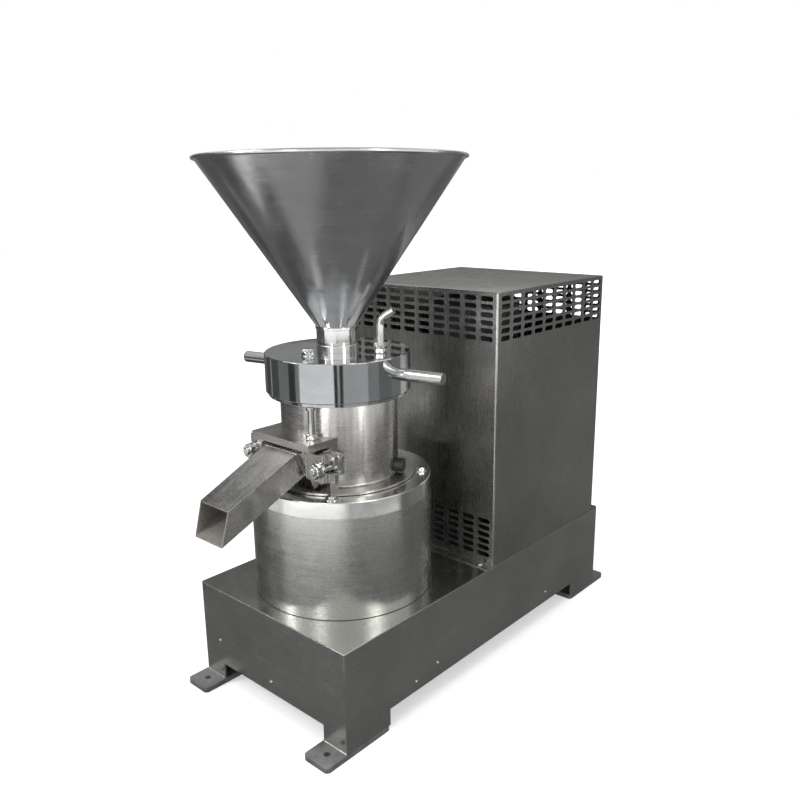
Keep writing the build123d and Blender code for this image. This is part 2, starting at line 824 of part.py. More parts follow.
# Clevis pins with a head on top
with BuildPart() as clevis_pins:
    pin_length = eye_height + 2 * seat_gap + 2 * lug_thickness
    with BuildSketch(Plane(origin=(0, pivot_y, lug_low))):
        with Locations((clamp_x, 0), (-clamp_x, 0)):
            Circle(pin_radius)
    extrude(amount=pin_length)
    with BuildSketch(Plane(origin=(0, pivot_y, lug_high + lug_thickness))):
        with Locations((clamp_x, 0), (-clamp_x, 0)):
            Circle(pin_radius * 1.6)
    extrude(amount=pin_radius * 0.6)
clevis_pins.part.label = "clevis_pins"
export_step(clevis_pins.part, "parts/clevis_pins.step")

# Locking screw: it is turned up against the lip of the adjusting ring
with BuildPart() as locking_screw:
    lock_head_low = lip_under - seat_gap - lock_head_height
    with BuildSketch(Plane(origin=(lock_x, lock_y, block_top - lock_depth))):
        Circle(lock_radius)
    extrude(amount=lock_head_low - (block_top - lock_depth))
    with BuildSketch(Plane(origin=(lock_x, lock_y, lock_head_low))):
        Circle(lock_head_radius)
    extrude(amount=lock_head_height)
    chamfer(locking_screw.edges().group_by(Axis.Z)[-1], length=1)
locking_screw.part.label = "locking_screw"
export_step(locking_screw.part, "parts/locking_screw.step")

with BuildPart() as locking_nut:
    with Locations((lock_x, lock_y, block_top)):
        add(hex_nut(lock_radius + fit_gap, lock_nut_flats, lock_nut_height))
locking_nut.part.label = "locking_nut"
export_step(locking_nut.part, "parts/locking_nut.step")

# Adjusting ring: a cap with a deep skirt that turns on the neck of the body
handle_planes = []
for turn in (handle_angle, handle_angle + 180):
    outward = (cos(radians(turn)), sin(radians(turn)), 0)
    handle_planes.append(Plane(origin=(0, mill_y, handle_z), x_dir=(0, 0, 1), z_dir=outward))
nozzle_x = nozzle_circle * cos(radians(nozzle_angle))
nozzle_y = mill_y + nozzle_circle * sin(radians(nozzle_angle))
ring_bolt_places = []
for angle in ring_bolt_angles:
    bolt_x = ring_bolt_circle * cos(radians(angle))
    bolt_y = mill_y + ring_bolt_circle * sin(radians(angle))
    ring_bolt_places.append((bolt_x, bolt_y))
with BuildPart() as adjusting_ring:
    with BuildSketch(mill_section):
        with BuildLine():
            Polyline(
                (feed_radius, plate_under),
                (neck_radius, plate_under),
                (neck_radius, lip_under),
                (lip_radius, lip_under),
                (lip_radius, ring_under),
                (ring_radius - ring_chamfer, ring_under),
                (ring_radius, ring_under + ring_chamfer),
                (ring_radius, ring_top - ring_chamfer),
                (ring_radius - ring_chamfer, ring_top),
                (feed_radius, ring_top),
                close=True,
            )
        make_face()
    revolve(axis=mill_axis)
    with BuildSketch(*[plane.offset(ring_radius - handle_depth) for plane in handle_planes]):
        Circle(handle_radius + fit_gap)
    extrude(amount=2 * handle_depth, mode=Mode.SUBTRACT)
    with BuildSketch(Plane.XY.offset(ring_top)):
        with Locations(*ring_bolt_places):
            Circle(ring_bolt_radius + fit_gap)
        with Locations((nozzle_x, nozzle_y)):
            Circle(nozzle_radius + fit_gap)
    extrude(amount=-ring_plate, mode=Mode.SUBTRACT)
adjusting_ring.part.label = "adjusting_ring"
export_step(adjusting_ring.part, "parts/adjusting_ring.step")

# Handles of the adjusting ring
for name, plane in (("right_handle", handle_planes[0]), ("left_handle", handle_planes[1])):
    with BuildPart() as handle:
        with BuildSketch(plane.offset(ring_radius - handle_depth)):
            Circle(handle_radius)
        extrude(amount=handle_reach - ring_radius + handle_depth)
        handle_end = handle.faces().sort_by(Axis((0, 0, 0), plane.z_dir))[-1]
        fillet(handle_end.edges(), radius=1.5)
    handle.part.label = name
    export_step(handle.part, f"parts/{name}.step")

# Bolts that hold the stator under the ring
ring_bolt = hex_bolt(ring_bolt_radius, ring_plate + ring_bolt_depth, ring_bolt_flats, ring_bolt_head)
with BuildPart() as ring_bolts:
    for place in ring_bolt_places:
        with Locations((place[0], place[1], ring_top)):
            add(ring_bolt)
ring_bolts.part.label = "ring_bolts"
export_step(ring_bolts.part, "parts/ring_bolts.step")

# Feed collar: a short boss that centres the hopper
with BuildPart() as feed_collar:
    with BuildSketch(mill_level(ring_top)):
        Circle(collar_radius)
        Circle(collar_bore, mode=Mode.SUBTRACT)
    extrude(amount=collar_height)
    chamfer(feed_collar.edges().group_by(Axis.Z)[-1].sort_by(SortBy.RADIUS)[-1], length=0.8)
feed_collar.part.label = "feed_collar"
export_step(feed_collar.part, "parts/feed_collar.step")

# Water nozzle: a bent tube through the ring
nozzle_plane = Plane(
    origin=(nozzle_x, nozzle_y, 0),
    x_dir=(cos(radians(nozzle_heading)), sin(radians(nozzle_heading)), 0),
    z_dir=(sin(radians(nozzle_heading)), -cos(radians(nozzle_heading)), 0),
)
nozzle_bend_z = ring_top + nozzle_rise
nozzle_tip = (
    nozzle_bend * (1 - cos(radians(nozzle_turn))) + nozzle_end * sin(radians(nozzle_turn)),
    nozzle_bend_z + nozzle_bend * sin(radians(nozzle_turn)) + nozzle_end * cos(radians(nozzle_turn)),
)
with BuildPart() as water_nozzle:
    with BuildLine(nozzle_plane) as nozzle_path:
        nozzle_stem = Line((0, plate_under), (0, nozzle_bend_z))
        nozzle_arc = JernArc((0, nozzle_bend_z), (0, 1), nozzle_bend, -nozzle_turn)
        Line(nozzle_arc @ 1, nozzle_tip)
    with BuildSketch(Plane(origin=(nozzle_x, nozzle_y, plate_under))):
        Circle(nozzle_radius)
        Circle(nozzle_bore, mode=Mode.SUBTRACT)
    sweep(path=nozzle_path.line)
water_nozzle.part.label = "water_nozzle"
export_step(water_nozzle.part, "parts/water_nozzle.step")

nozzle_nut = hex_nut(nozzle_radius + fit_gap, nozzle_nut_flats, nozzle_nut_height)
with BuildPart() as nozzle_nuts:
    with Locations((nozzle_x, nozzle_y, ring_top), (nozzle_x, nozzle_y, ring_top + nozzle_nut_height + seat_gap)):
        add(nozzle_nut)
nozzle_nuts.part.label = "nozzle_nuts"
export_step(nozzle_nuts.part, "parts/nozzle_nuts.step")

# Hopper: spun cone with a wired rim, on a short neck that drops into the collar
hopper_low = collar_top
hopper_top = hopper_low + hopper_height
cone_low = hopper_low + hopper_neck_height
rim_z = hopper_top - hopper_rim
rim_radius = hopper_radius - hopper_rim
cone_spread = (rim_radius - hopper_neck_radius) / (rim_z - cone_low)
cone_wall = hopper_wall * sqrt(1 + cone_spread**2)
bore_end = cone_low - (hopper_neck_radius - cone_wall - hopper_neck_bore) / cone_spread
with BuildPart() as hopper:
    with BuildSketch(mill_section):
        with BuildLine():
            Polyline(
                (hopper_neck_bore, hopper_low - hopper_spigot),
                (feed_radius, hopper_low - hopper_spigot),
                (feed_radius, hopper_low),
                (hopper_neck_radius, hopper_low),
                (hopper_neck_radius, cone_low - hopper_bead_height),
                (hopper_neck_radius + hopper_bead, cone_low - hopper_bead_height),
                (hopper_neck_radius + hopper_bead, cone_low),
                (hopper_neck_radius, cone_low),
                (rim_radius, rim_z),
                (rim_radius - cone_wall, rim_z),
                (hopper_neck_bore, bore_end),
                close=True,
            )
        make_face()
        with Locations((rim_radius, rim_z)):
            Circle(hopper_rim)
    revolve(axis=mill_axis)
hopper.part.label = "hopper"
export_step(hopper.part, "parts/hopper.step")

# Bearing housing: hangs from the drum flange and reaches towards the base
housing_low = flange_under - housing_length
with BuildPart() as bearing_housing:
    with BuildSketch(mill_level(housing_low)):
        Circle(housing_radius)
    extrude(amount=housing_length)
    with BuildSketch(mill_level(flange_under)):
        Circle(housing_flange_radius)
    extrude(amount=-housing_flange_height)
    with BuildSketch(mill_level(flange_under)):
        Circle(housing_spigot_radius)
    extrude(amount=housing_spigot_height)
    with BuildSketch(mill_level(housing_low)):
        Circle(housing_lip_radius)
    extrude(amount=housing_lip_height, mode=Mode.SUBTRACT)
    with BuildSketch(mill_level(housing_low + housing_lip_height)):
        Circle(bearing_radius + fit_gap)
    extrude(amount=housing_length + housing_spigot_height, mode=Mode.SUBTRACT)
bearing_housing.part.label = "bearing_housing"
export_step(bearing_housing.part, "parts/bearing_housing.step")

# Spindle bearings
spindle_bearing = ball_bearing(spindle_radius + fit_gap, bearing_radius, bearing_width)
with BuildPart() as lower_bearing:
    with Locations((0, mill_y, housing_low + housing_lip_height)):
        add(spindle_bearing)
lower_bearing.part.label = "lower_bearing"
export_step(lower_bearing.part, "parts/lower_bearing.step")

upper_bearing_z = flange_under + housing_spigot_height - bearing_width
with BuildPart() as upper_bearing:
    with Locations((0, mill_y, upper_bearing_z)):
        add(spindle_bearing)
upper_bearing.part.label = "upper_bearing"
export_step(upper_bearing.part, "parts/upper_bearing.step")

# Shaft seal in the floor of the chamber
with BuildPart() as shaft_seal:
    with BuildSketch(mill_level(floor_z)):
        Circle(seal_radius)
        Circle(spindle_radius + fit_gap, mode=Mode.SUBTRACT)
    extrude(amount=-seal_height)
shaft_seal.part.label = "shaft_seal"
export_step(shaft_seal.part, "parts/shaft_seal.step")

# Spindle
with BuildPart() as spindle_shaft:
    stud_top = rotor_top + feed_cone_height * 0.7
    spindle_low = pulley_bottom - spindle_nut_height
    with BuildSketch(mill_section):
        with BuildLine():
            Polyline(
                (0, spindle_low),
                (spindle_end_radius, spindle_low),
                (spindle_end_radius, pulley_bottom),
                (pulley_seat_radius, pulley_bottom),
                (pulley_seat_radius, pulley_top),
                (spindle_radius, pulley_top),
                (spindle_radius, rotor_low),
                (rotor_seat_radius, rotor_low),
                (rotor_seat_radius, rotor_top),
                (rotor_stud_radius, rotor_top),
                (rotor_stud_radius, stud_top),
                (0, stud_top),
                close=True,
            )
        make_face()
    revolve(axis=mill_axis)
spindle_shaft.part.label = "spindle_shaft"
export_step(spindle_shaft.part, "parts/spindle_shaft.step")

# Rotor: a cone with coarse grooves above and fine grooves below
coarse_z = rotor_low + rotor_height * 0.72
fine_z = rotor_low + rotor_height * 0.22
coarse_length = rotor_height * 0.72
fine_length = rotor_height * 0.56
with BuildPart() as rotor:
    with BuildSketch(mill_section):
        with BuildLine():
            Polyline(
                (rotor_seat_radius + fit_gap, rotor_low),
                (rotor_bottom_radius, rotor_low),
                (rotor_top_radius, rotor_top),
                (rotor_seat_radius + fit_gap, rotor_top),
                close=True,
            )
        make_face()
    revolve(axis=mill_axis)
    with BuildSketch(*cone_planes(coarse_grooves, rotor_radius_at(coarse_z), coarse_z, coarse_depth)):
        Rectangle(coarse_length, coarse_width)
    extrude(amount=2 * coarse_depth, mode=Mode.SUBTRACT)
    with BuildSketch(*cone_planes(fine_grooves, rotor_radius_at(fine_z), fine_z, fine_depth)):
        Rectangle(fine_length, fine_width)
    extrude(amount=2 * fine_depth, mode=Mode.SUBTRACT)
rotor.part.label = "rotor"
export_step(rotor.part, "parts/rotor.step")

# Stator: the matching hollow cone under the ring's plate
side_gap = grinding_gap * sqrt(1 + rotor_lean**2)
stator_low = rotor_low + seat_gap
roof_z = rotor_top + 2 * grinding_gap
with BuildPart() as stator:
    with BuildSketch(mill_section):
        with BuildLine():
            Polyline(
                (rotor_radius_at(stator_low) + side_gap, stator_low),
                (stator_radius, stator_low),
                (stator_radius, plate_under),
                (feed_radius, plate_under),
                (rotor_radius_at(roof_z) + side_gap, roof_z),
                close=True,
            )
        make_face()
    revolve(axis=mill_axis)
    with BuildSketch(*cone_planes(coarse_grooves, rotor_radius_at(coarse_z), coarse_z, 0, turn=9)):
        Rectangle(coarse_length, coarse_width)
    extrude(amount=coarse_depth, mode=Mode.SUBTRACT)
    with BuildSketch(*cone_planes(fine_grooves, rotor_radius_at(fine_z), fine_z, 0, turn=5)):
        Rectangle(fine_length, fine_width)
    extrude(amount=fine_depth, mode=Mode.SUBTRACT)
    with BuildSketch(Plane.XY.offset(plate_under)):
        with Locations(*ring_bolt_places):
            Circle(ring_bolt_radius + fit_gap)
    extrude(amount=-(ring_bolt_depth + seat_gap), mode=Mode.SUBTRACT)
stator.part.label = "stator"
export_step(stator.part, "parts/stator.step")

# Feed cone: the cap nut on top of the rotor
with BuildPart() as feed_cone:
    with BuildSketch(mill_section):
        with BuildLine():
            Polyline(
                (rotor_stud_radius + fit_gap, rotor_top),
                (feed_cone_radius, rotor_top),
                (feed_cone_radius, rotor_top + feed_cone_height * 0.25),
                (feed_cone_tip, rotor_top + feed_cone_height),
                (0, rotor_top + feed_cone_height),
                (0, stud_top + seat_gap),
                (rotor_stud_radius + fit_gap, stud_top + seat_gap),
                close=True,
            )
        make_face()
    revolve(axis=mill_axis)
feed_cone.part.label = "feed_cone"
export_step(feed_cone.part, "parts/feed_cone.step")

# Discharge scraper: a hub under the rotor with blades that sweep the chamber
scraper_low = floor_z + scraper_clearance
with BuildPart() as discharge_scraper:
    with BuildSketch(mill_level(scraper_low)):
        Circle(scraper_hub_radius)
    extrude(amount=rotor_low - scraper_low)
    with BuildSketch(mill_level(scraper_low)):
        with PolarLocations(0, scraper_blades):
            Rectangle(chamber_radius - scraper_clearance, scraper_thickness, align=(Align.MIN, Align.CENTER))
    extrude(amount=scraper_blade_height)
    with BuildSketch(mill_level(scraper_low)):
        Circle(spindle_radius + fit_gap)
    extrude(amount=rotor_low - scraper_low, mode=Mode.SUBTRACT)
discharge_scraper.part.label = "discharge_scraper"
export_step(discharge_scraper.part, "parts/discharge_scraper.step")

# Pulleys for three V-belts
with BuildPart() as mill_pulley:
    with BuildSketch(Plane(origin=(0, mill_y, pulley_bottom), x_dir=(1, 0, 0), z_dir=(0, -1, 0))):
        with BuildLine():
            Polyline(*pulley_profile(mill_pulley_radius, pulley_seat_radius + fit_gap), close=True)
        make_face()
    revolve(axis=mill_axis)
mill_pulley.part.label = "mill_pulley"
export_step(mill_pulley.part, "parts/mill_pulley.step")

with BuildPart() as motor_pulley:
    with BuildSketch(Plane(origin=(0, motor_y, pulley_bottom), x_dir=(1, 0, 0), z_dir=(0, -1, 0))):
        with BuildLine():
            Polyline(*pulley_profile(motor_pulley_radius, motor_shaft_radius + fit_gap), close=True)
        make_face()
    revolve(axis=motor_axis)
    web_radius = motor_pulley_radius - belt_height - belt_sink - pulley_web
    with BuildSketch(motor_level(pulley_bottom), motor_level(pulley_top - pulley_web)):
        Circle(web_radius)
        Circle(pulley_hub_radius, mode=Mode.SUBTRACT)
    extrude(amount=pulley_web, mode=Mode.SUBTRACT)
motor_pulley.part.label = "motor_pulley"
export_step(motor_pulley.part, "parts/motor_pulley.step")

# Nut that holds the mill pulley on the spindle
with BuildPart() as spindle_nut:
    with Locations((0, mill_y, spindle_low)):
        add(hex_nut(spindle_end_radius + fit_gap, spindle_nut_flats, spindle_nut_height - seat_gap))
spindle_nut.part.label = "spindle_nut"
export_step(spindle_nut.part, "parts/spindle_nut.step")

# V-belts: three closed loops round both pulleys
belt_line = belt_sink + belt_height / 2
mill_loop = mill_pulley_radius - belt_line
motor_loop = motor_pulley_radius - belt_line
belt_lean = degrees(atan2(motor_loop - mill_loop, sqrt((motor_y - mill_y) ** 2 - (motor_loop - mill_loop) ** 2)))
with BuildPart() as v_belts:
    for groove in range(groove_count):
        belt_z = pulley_bottom + pulley_rim + groove_pitch * (groove + 0.5)
        with BuildLine(Plane.XY.offset(belt_z)) as belt_path:
            motor_wrap = CenterArc((0, motor_y), motor_loop, -belt_lean, 180 + 2 * belt_lean)
            mill_wrap = CenterArc((0, mill_y), mill_loop, 180 + belt_lean, 180 - 2 * belt_lean)
            Line(motor_wrap @ 1, mill_wrap @ 0)
            Line(mill_wrap @ 1, motor_wrap @ 0)
        start = motor_wrap @ 0
        outward = Vector(cos(radians(belt_lean)), -sin(radians(belt_lean)), 0)
        with BuildSketch(Plane(origin=start, x_dir=outward, z_dir=motor_wrap % 0)):
            with BuildLine():
                Polyline(
                    (belt_height / 2, belt_top_width / 2),
                    (belt_height / 2, -belt_top_width / 2),
                    (-belt_height / 2, -belt_bottom_width / 2),
                    (-belt_height / 2, belt_bottom_width / 2),
                    close=True,
                )
            make_face()
        sweep(path=belt_path.wire())
v_belts.part.label = "v_belts"
export_step(v_belts.part, "parts/v_belts.step")

# Motor plate on the base, slotted so the belts can be tightened
with BuildPart() as motor_plate:
    with BuildSketch(motor_level(base_height)):
        Rectangle(motor_plate_width, motor_plate_length)
        Circle(motor_opening, mode=Mode.SUBTRACT)
        with GridLocations(motor_slot_spread, motor_slot_spread, 2, 2):
            SlotOverall(motor_slot_length, 2 * motor_bolt_radius + 1, rotation=90, mode=Mode.SUBTRACT)
        with PolarLocations(motor_flange_circle, 4, start_angle=45):
            Circle(motor_bolt_radius + fit_gap, mode=Mode.SUBTRACT)
    extrude(amount=motor_plate_thickness)
motor_plate.part.label = "motor_plate"
export_step(motor_plate.part, "parts/motor_plate.step")

plate_bolt = hex_bolt(motor_bolt_radius, motor_plate_thickness + base_sheet + rail_wall, motor_bolt_flats, motor_bolt_head)
with BuildPart() as plate_bolts:
    with Locations(motor_level(motor_plate_top)):
        with GridLocations(motor_slot_spread, motor_slot_spread, 2, 2):
            add(plate_bolt)
plate_bolts.part.label = "plate_bolts"
export_step(plate_bolts.part, "parts/plate_bolts.step")

# Drive-end shield with the mounting flange
with BuildPart() as drive_shield:
    with BuildSketch(motor_level(motor_plate_top)):
        Circle(motor_flange_radius)
    extrude(amount=motor_flange_thickness)
    with BuildSketch(motor_level(motor_frame_low)):
        Circle(motor_radius - motor_wall - fit_gap)
    extrude(amount=bearing_width - motor_flange_thickness / 2)
    with BuildSketch(motor_level(motor_plate_top)):
        Circle(housing_lip_radius)
    extrude(amount=motor_flange_thickness / 2, mode=Mode.SUBTRACT)
    with BuildSketch(motor_level(motor_plate_top + motor_flange_thickness / 2)):
        Circle(bearing_radius + fit_gap)
    extrude(amount=2 * bearing_width, mode=Mode.SUBTRACT)
    with BuildSketch(motor_level(motor_plate_top)):
        with PolarLocations(motor_flange_circle, 4, start_angle=45):
            Circle(motor_bolt_radius + fit_gap)
    extrude(amount=motor_flange_thickness, mode=Mode.SUBTRACT)
drive_shield.part.label = "drive_shield"
export_step(drive_shield.part, "parts/drive_shield.step")

flange_bolt = hex_bolt(
    motor_bolt_radius,
    motor_plate_thickness + motor_flange_thickness,
    motor_bolt_flats,
    motor_bolt_head,
)
with BuildPart() as flange_bolts:
    with Locations(motor_level(motor_frame_low)):
        with PolarLocations(motor_flange_circle, 4, start_angle=45):
            add(flange_bolt)
flange_bolts.part.label = "flange_bolts"
export_step(flange_bolts.part, "parts/flange_bolts.step")

# Motor frame: a finned tube; the fins leave room for the flange bolts
fin_start = motor_bolt_head + 6
with BuildPart() as motor_frame:
    with BuildSketch(motor_level(motor_frame_low)):
        Circle(motor_radius)
        Circle(motor_radius - motor_wall, mode=Mode.SUBTRACT)
    extrude(amount=motor_length)
    with BuildSketch(motor_level(motor_frame_low + fin_start)):
        with PolarLocations(motor_radius - motor_wall / 2, motor_fins):
            Rectangle(fin_height + motor_wall / 2, fin_thickness, align=(Align.MIN, Align.CENTER))
    extrude(amount=motor_length - 2 * fin_start)
motor_frame.part.label = "motor_frame"
export_step(motor_frame.part, "parts/motor_frame.step")

# Wound stator core
core_low = motor_frame_low + core_lift
with BuildPart() as stator_core:
    with BuildSketch(motor_level(core_low)):
        Circle(motor_radius - motor_wall - fit_gap)
        Circle(core_radius + core_gap, mode=Mode.SUBTRACT)
    extrude(amount=core_length)
stator_core.part.label = "stator_core"
export_step(stator_core.part, "parts/stator_core.step")

# Rear shield
with BuildPart() as rear_shield:
    with BuildSketch(motor_level(motor_frame_top)):
        Circle(motor_radius)
    extrude(amount=shield_thickness)
    with BuildSketch(motor_level(motor_frame_top)):
        Circle(motor_radius - motor_wall - fit_gap)
    extrude(amount=-bearing_width + shield_thickness / 2)
    with BuildSketch(motor_level(motor_frame_top + shield_thickness / 2)):
        Circle(bearing_radius + fit_gap)
    extrude(amount=-2 * bearing_width, mode=Mode.SUBTRACT)
    with BuildSketch(motor_level(motor_frame_top)):
        Circle(housing_lip_radius)
    extrude(amount=shield_thickness, mode=Mode.SUBTRACT)
rear_shield.part.label = "rear_shield"
export_step(rear_shield.part, "parts/rear_shield.step")

# Motor bearings
motor_bearing = ball_bearing(motor_shaft_radius + fit_gap, bearing_radius, bearing_width)
rear_bearing_z = motor_frame_top + shield_thickness / 2 - bearing_width
with BuildPart() as motor_bearings:
    with Locations(
        (0, motor_y, motor_plate_top + motor_flange_thickness / 2),
        (0, motor_y, rear_bearing_z),
    ):
        add(motor_bearing)
motor_bearings.part.label = "motor_bearings"
export_step(motor_bearings.part, "parts/motor_bearings.step")

# Motor shaft, rotor core and cooling fan
fan_low = cowl_low + 8
with BuildPart() as motor_shaft:
    with BuildSketch(motor_level(pulley_bottom)):
        Circle(motor_shaft_radius)
    extrude(amount=fan_low + fan_height - pulley_bottom)
    chamfer(motor_shaft.edges().group_by(Axis.Z)[0], length=2)
motor_shaft.part.label = "motor_shaft"
export_step(motor_shaft.part, "parts/motor_shaft.step")

with BuildPart() as rotor_core:
    with BuildSketch(motor_level(core_low)):
        Circle(core_radius)
        Circle(motor_shaft_radius + fit_gap, mode=Mode.SUBTRACT)
    extrude(amount=core_length)
rotor_core.part.label = "rotor_core"
export_step(rotor_core.part, "parts/rotor_core.step")

with BuildPart() as cooling_fan:
    with BuildSketch(motor_level(fan_low)):
        Circle(fan_radius)
    extrude(amount=fan_blade_thickness)
    with BuildSketch(motor_level(fan_low)):
        Circle(fan_hub_radius)
        with PolarLocations(0, fan_blades):
            Rectangle(fan_radius, fan_blade_thickness, align=(Align.MIN, Align.CENTER))
    extrude(amount=fan_height)
    with BuildSketch(motor_level(fan_low)):
        Circle(motor_shaft_radius + fit_gap)
    extrude(amount=fan_height, mode=Mode.SUBTRACT)
cooling_fan.part.label = "cooling_fan"
export_step(cooling_fan.part, "parts/cooling_fan.step")

# Fan cowl with a ring of slots in its top
with BuildPart() as fan_cowl:
    with BuildSketch(motor_level(cowl_low)):
        Circle(motor_radius)
    extrude(amount=cowl_height)
    chamfer(fan_cowl.edges().group_by(Axis.Z)[-1], length=cowl_bevel)
    with BuildSketch(motor_level(cowl_low)):
        Circle(motor_radius - cowl_sheet)
    extrude(amount=cowl_height - cowl_bevel - cowl_sheet, mode=Mode.SUBTRACT)
    with BuildSketch(motor_level(cowl_low + cowl_height)):
        with PolarLocations(fan_radius * 0.6, cowl_slots):
            Rectangle(fan_radius * 0.6, vent_height)
    extrude(amount=-(cowl_bevel + cowl_sheet), mode=Mode.SUBTRACT)
fan_cowl.part.label = "fan_cowl"
export_step(fan_cowl.part, "parts/fan_cowl.step")

# Terminal box on the side of the motor
with BuildPart() as terminal_box:
    box_z = motor_frame_low + terminal_lift
    with BuildSketch(Plane(origin=(motor_radius + fin_height, motor_y, box_z), x_dir=(0, 1, 0), z_dir=(1, 0, 0))):
        RectangleRounded(terminal_width, terminal_height, 6)
    extrude(amount=terminal_depth)
    fillet(terminal_box.faces().sort_by(Axis.X)[-1].edges(), radius=4)
terminal_box.part.label = "terminal_box"
export_step(terminal_box.part, "parts/terminal_box.step")

# Motor cover: a folded five-sided hood with rows of vent slots
slot_reach = 2 * cover_sheet
front_wall = Plane(origin=(0, cover_front, 0), x_dir=(1, 0, 0), z_dir=(0, -1, 0))
rear_wall = Plane(origin=(0, cover_rear, 0), x_dir=(-1, 0, 0), z_dir=(0, 1, 0))
right_wall = Plane(origin=(cover_width / 2, cover_y, 0), x_dir=(0, 1, 0), z_dir=(1, 0, 0))
left_wall = Plane(origin=(-cover_width / 2, cover_y, 0), x_dir=(0, -1, 0), z_dir=(-1, 0, 0))
top_vents_z = cover_top - vent_drop - (vent_rows - 1) * vent_pitch_z / 2
lower_vents_z = base_height + lower_vent_lift + (vent_rows - 1) * lower_vent_pitch_z / 2
cover_screws_y = (cover_front - cover_flange * 0.55, cover_rear + cover_flange * 0.55)
with BuildPart() as motor_cover:
    with BuildSketch(Plane(origin=(0, cover_y, base_height))):
        RectangleRounded(cover_width, cover_depth, cover_bend)
    extrude(amount=cover_height)
    fillet(motor_cover.edges().group_by(Axis.Z)[-1], radius=cover_sheet)
    with BuildSketch(Plane(origin=(0, cover_y, base_height))):
        RectangleRounded(cover_width - 2 * cover_sheet, cover_depth - 2 * cover_sheet, cover_bend - cover_sheet)
    extrude(amount=cover_height - cover_sheet, mode=Mode.SUBTRACT)
    # flanges turned out at the front and rear
    with BuildSketch(Plane.XY.offset(base_height)):
        with Locations((0, cover_front + cover_sheet)):
            Rectangle(cover_width, cover_flange + cover_sheet, align=(Align.CENTER, Align.MAX))
        with Locations((0, cover_rear - cover_sheet)):
            Rectangle(cover_width, cover_flange + cover_sheet, align=(Align.CENTER, Align.MIN))
        for screw_y in cover_screws_y:
            with Locations((0, screw_y)):
                with GridLocations(cover_screw_spread / 2, 1, 3, 1):
                    Circle(cover_screw_radius + fit_gap, mode=Mode.SUBTRACT)
    extrude(amount=cover_sheet)
    # bands of slots round the top, and one low in the front
    for wall in (front_wall, rear_wall, right_wall, left_wall):
        with BuildSketch(wall):
            with Locations((0, top_vents_z)):
                with GridLocations(vent_pitch_x, vent_pitch_z, vent_columns, vent_rows):
                    Rectangle(vent_length, vent_height)
        extrude(amount=-slot_reach, mode=Mode.SUBTRACT)
    with BuildSketch(front_wall):
        with Locations((0, lower_vents_z)):
            with GridLocations(vent_pitch_x, lower_vent_pitch_z, vent_columns, vent_rows):
                Rectangle(vent_length, vent_height)
    extrude(amount=-slot_reach, mode=Mode.SUBTRACT)
motor_cover.part.label = "motor_cover"
export_step(motor_cover.part, "parts/motor_cover.step")

# Cover screws through the flanges
with BuildPart() as cover_screws:
    for screw_y in cover_screws_y:
        with BuildSketch(Plane(origin=(0, screw_y, base_height + cover_sheet))):
            with GridLocations(cover_screw_spread / 2, 1, 3, 1):
                Circle(cover_screw_head_radius)
        extrude(amount=cover_screw_head)
    chamfer(cover_screws.edges().group_by(Axis.Z)[-1], length=cover_screw_head * 0.4)
    for screw_y in cover_screws_y:
        with BuildSketch(Plane(origin=(0, screw_y, base_height))):
            with GridLocations(cover_screw_spread / 2, 1, 3, 1):
                Circle(cover_screw_radius)
        extrude(amount=cover_sheet)
cover_screws.part.label = "cover_screws"
export_step(cover_screws.part, "parts/cover_screws.step")
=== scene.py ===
from math import ceil, cos, degrees, pi, radians, sin

import bmesh
import bpy
from mathutils import Matrix, Vector


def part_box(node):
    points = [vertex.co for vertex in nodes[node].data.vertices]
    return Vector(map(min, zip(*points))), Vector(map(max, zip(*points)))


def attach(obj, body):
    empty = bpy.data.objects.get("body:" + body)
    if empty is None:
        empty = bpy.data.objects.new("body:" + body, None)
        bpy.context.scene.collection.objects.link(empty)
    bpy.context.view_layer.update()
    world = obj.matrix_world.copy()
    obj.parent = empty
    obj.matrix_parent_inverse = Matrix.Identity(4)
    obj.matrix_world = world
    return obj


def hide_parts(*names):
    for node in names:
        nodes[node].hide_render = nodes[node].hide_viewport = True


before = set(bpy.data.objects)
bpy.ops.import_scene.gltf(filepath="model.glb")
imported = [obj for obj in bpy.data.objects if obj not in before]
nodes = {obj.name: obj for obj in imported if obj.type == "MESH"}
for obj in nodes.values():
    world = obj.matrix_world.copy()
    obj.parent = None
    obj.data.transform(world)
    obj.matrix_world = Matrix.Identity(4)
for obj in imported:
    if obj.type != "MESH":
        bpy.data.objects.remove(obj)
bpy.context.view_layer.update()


# Camera and stage

camera_azimuth = radians(42.06)
camera_elevation = radians(14.342)
camera_roll = radians(-0.71)
camera_place = Vector((1.04538, -1.21363, 0.92378))
camera_lens = 35.885
camera_sensor = 36.0

view_back = Vector((
    sin(camera_azimuth) * cos(camera_elevation),
    -cos(camera_azimuth) * cos(camera_elevation),
    sin(camera_elevation),
))
view_right = Vector((cos(camera_azimuth), sin(camera_azimuth), 0.0))
view_up = view_back.cross(view_right)
roll_right = view_right * cos(camera_roll) + view_up * sin(camera_roll)
roll_up = view_up * cos(camera_roll) - view_right * sin(camera_roll)
camera_turn = Matrix((roll_right, roll_up, view_back)).transposed().to_4x4()

camera_data = bpy.data.cameras.new("camera")
camera_data.lens = camera_lens
camera_data.sensor_width = camera_sensor
camera = bpy.data.objects.new("camera", camera_data)
camera.matrix_world = Matrix.Translation(camera_place) @ camera_turn
bpy.context.scene.collection.objects.link(camera)
bpy.context.scene.camera = camera


# Places read from the frame

base_low, base_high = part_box("base_shell")
drum_low, drum_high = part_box("drum_flange")
cover_low, cover_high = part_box("motor_cover")
ring_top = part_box("adjusting_ring")[1].z
mill = ((drum_low.x + drum_high.x) / 2, (drum_low.y + drum_high.y) / 2)
drum_radius = (drum_high.x - drum_low.x) / 2

# The square tube of the spout, and the top of the hopper's neck

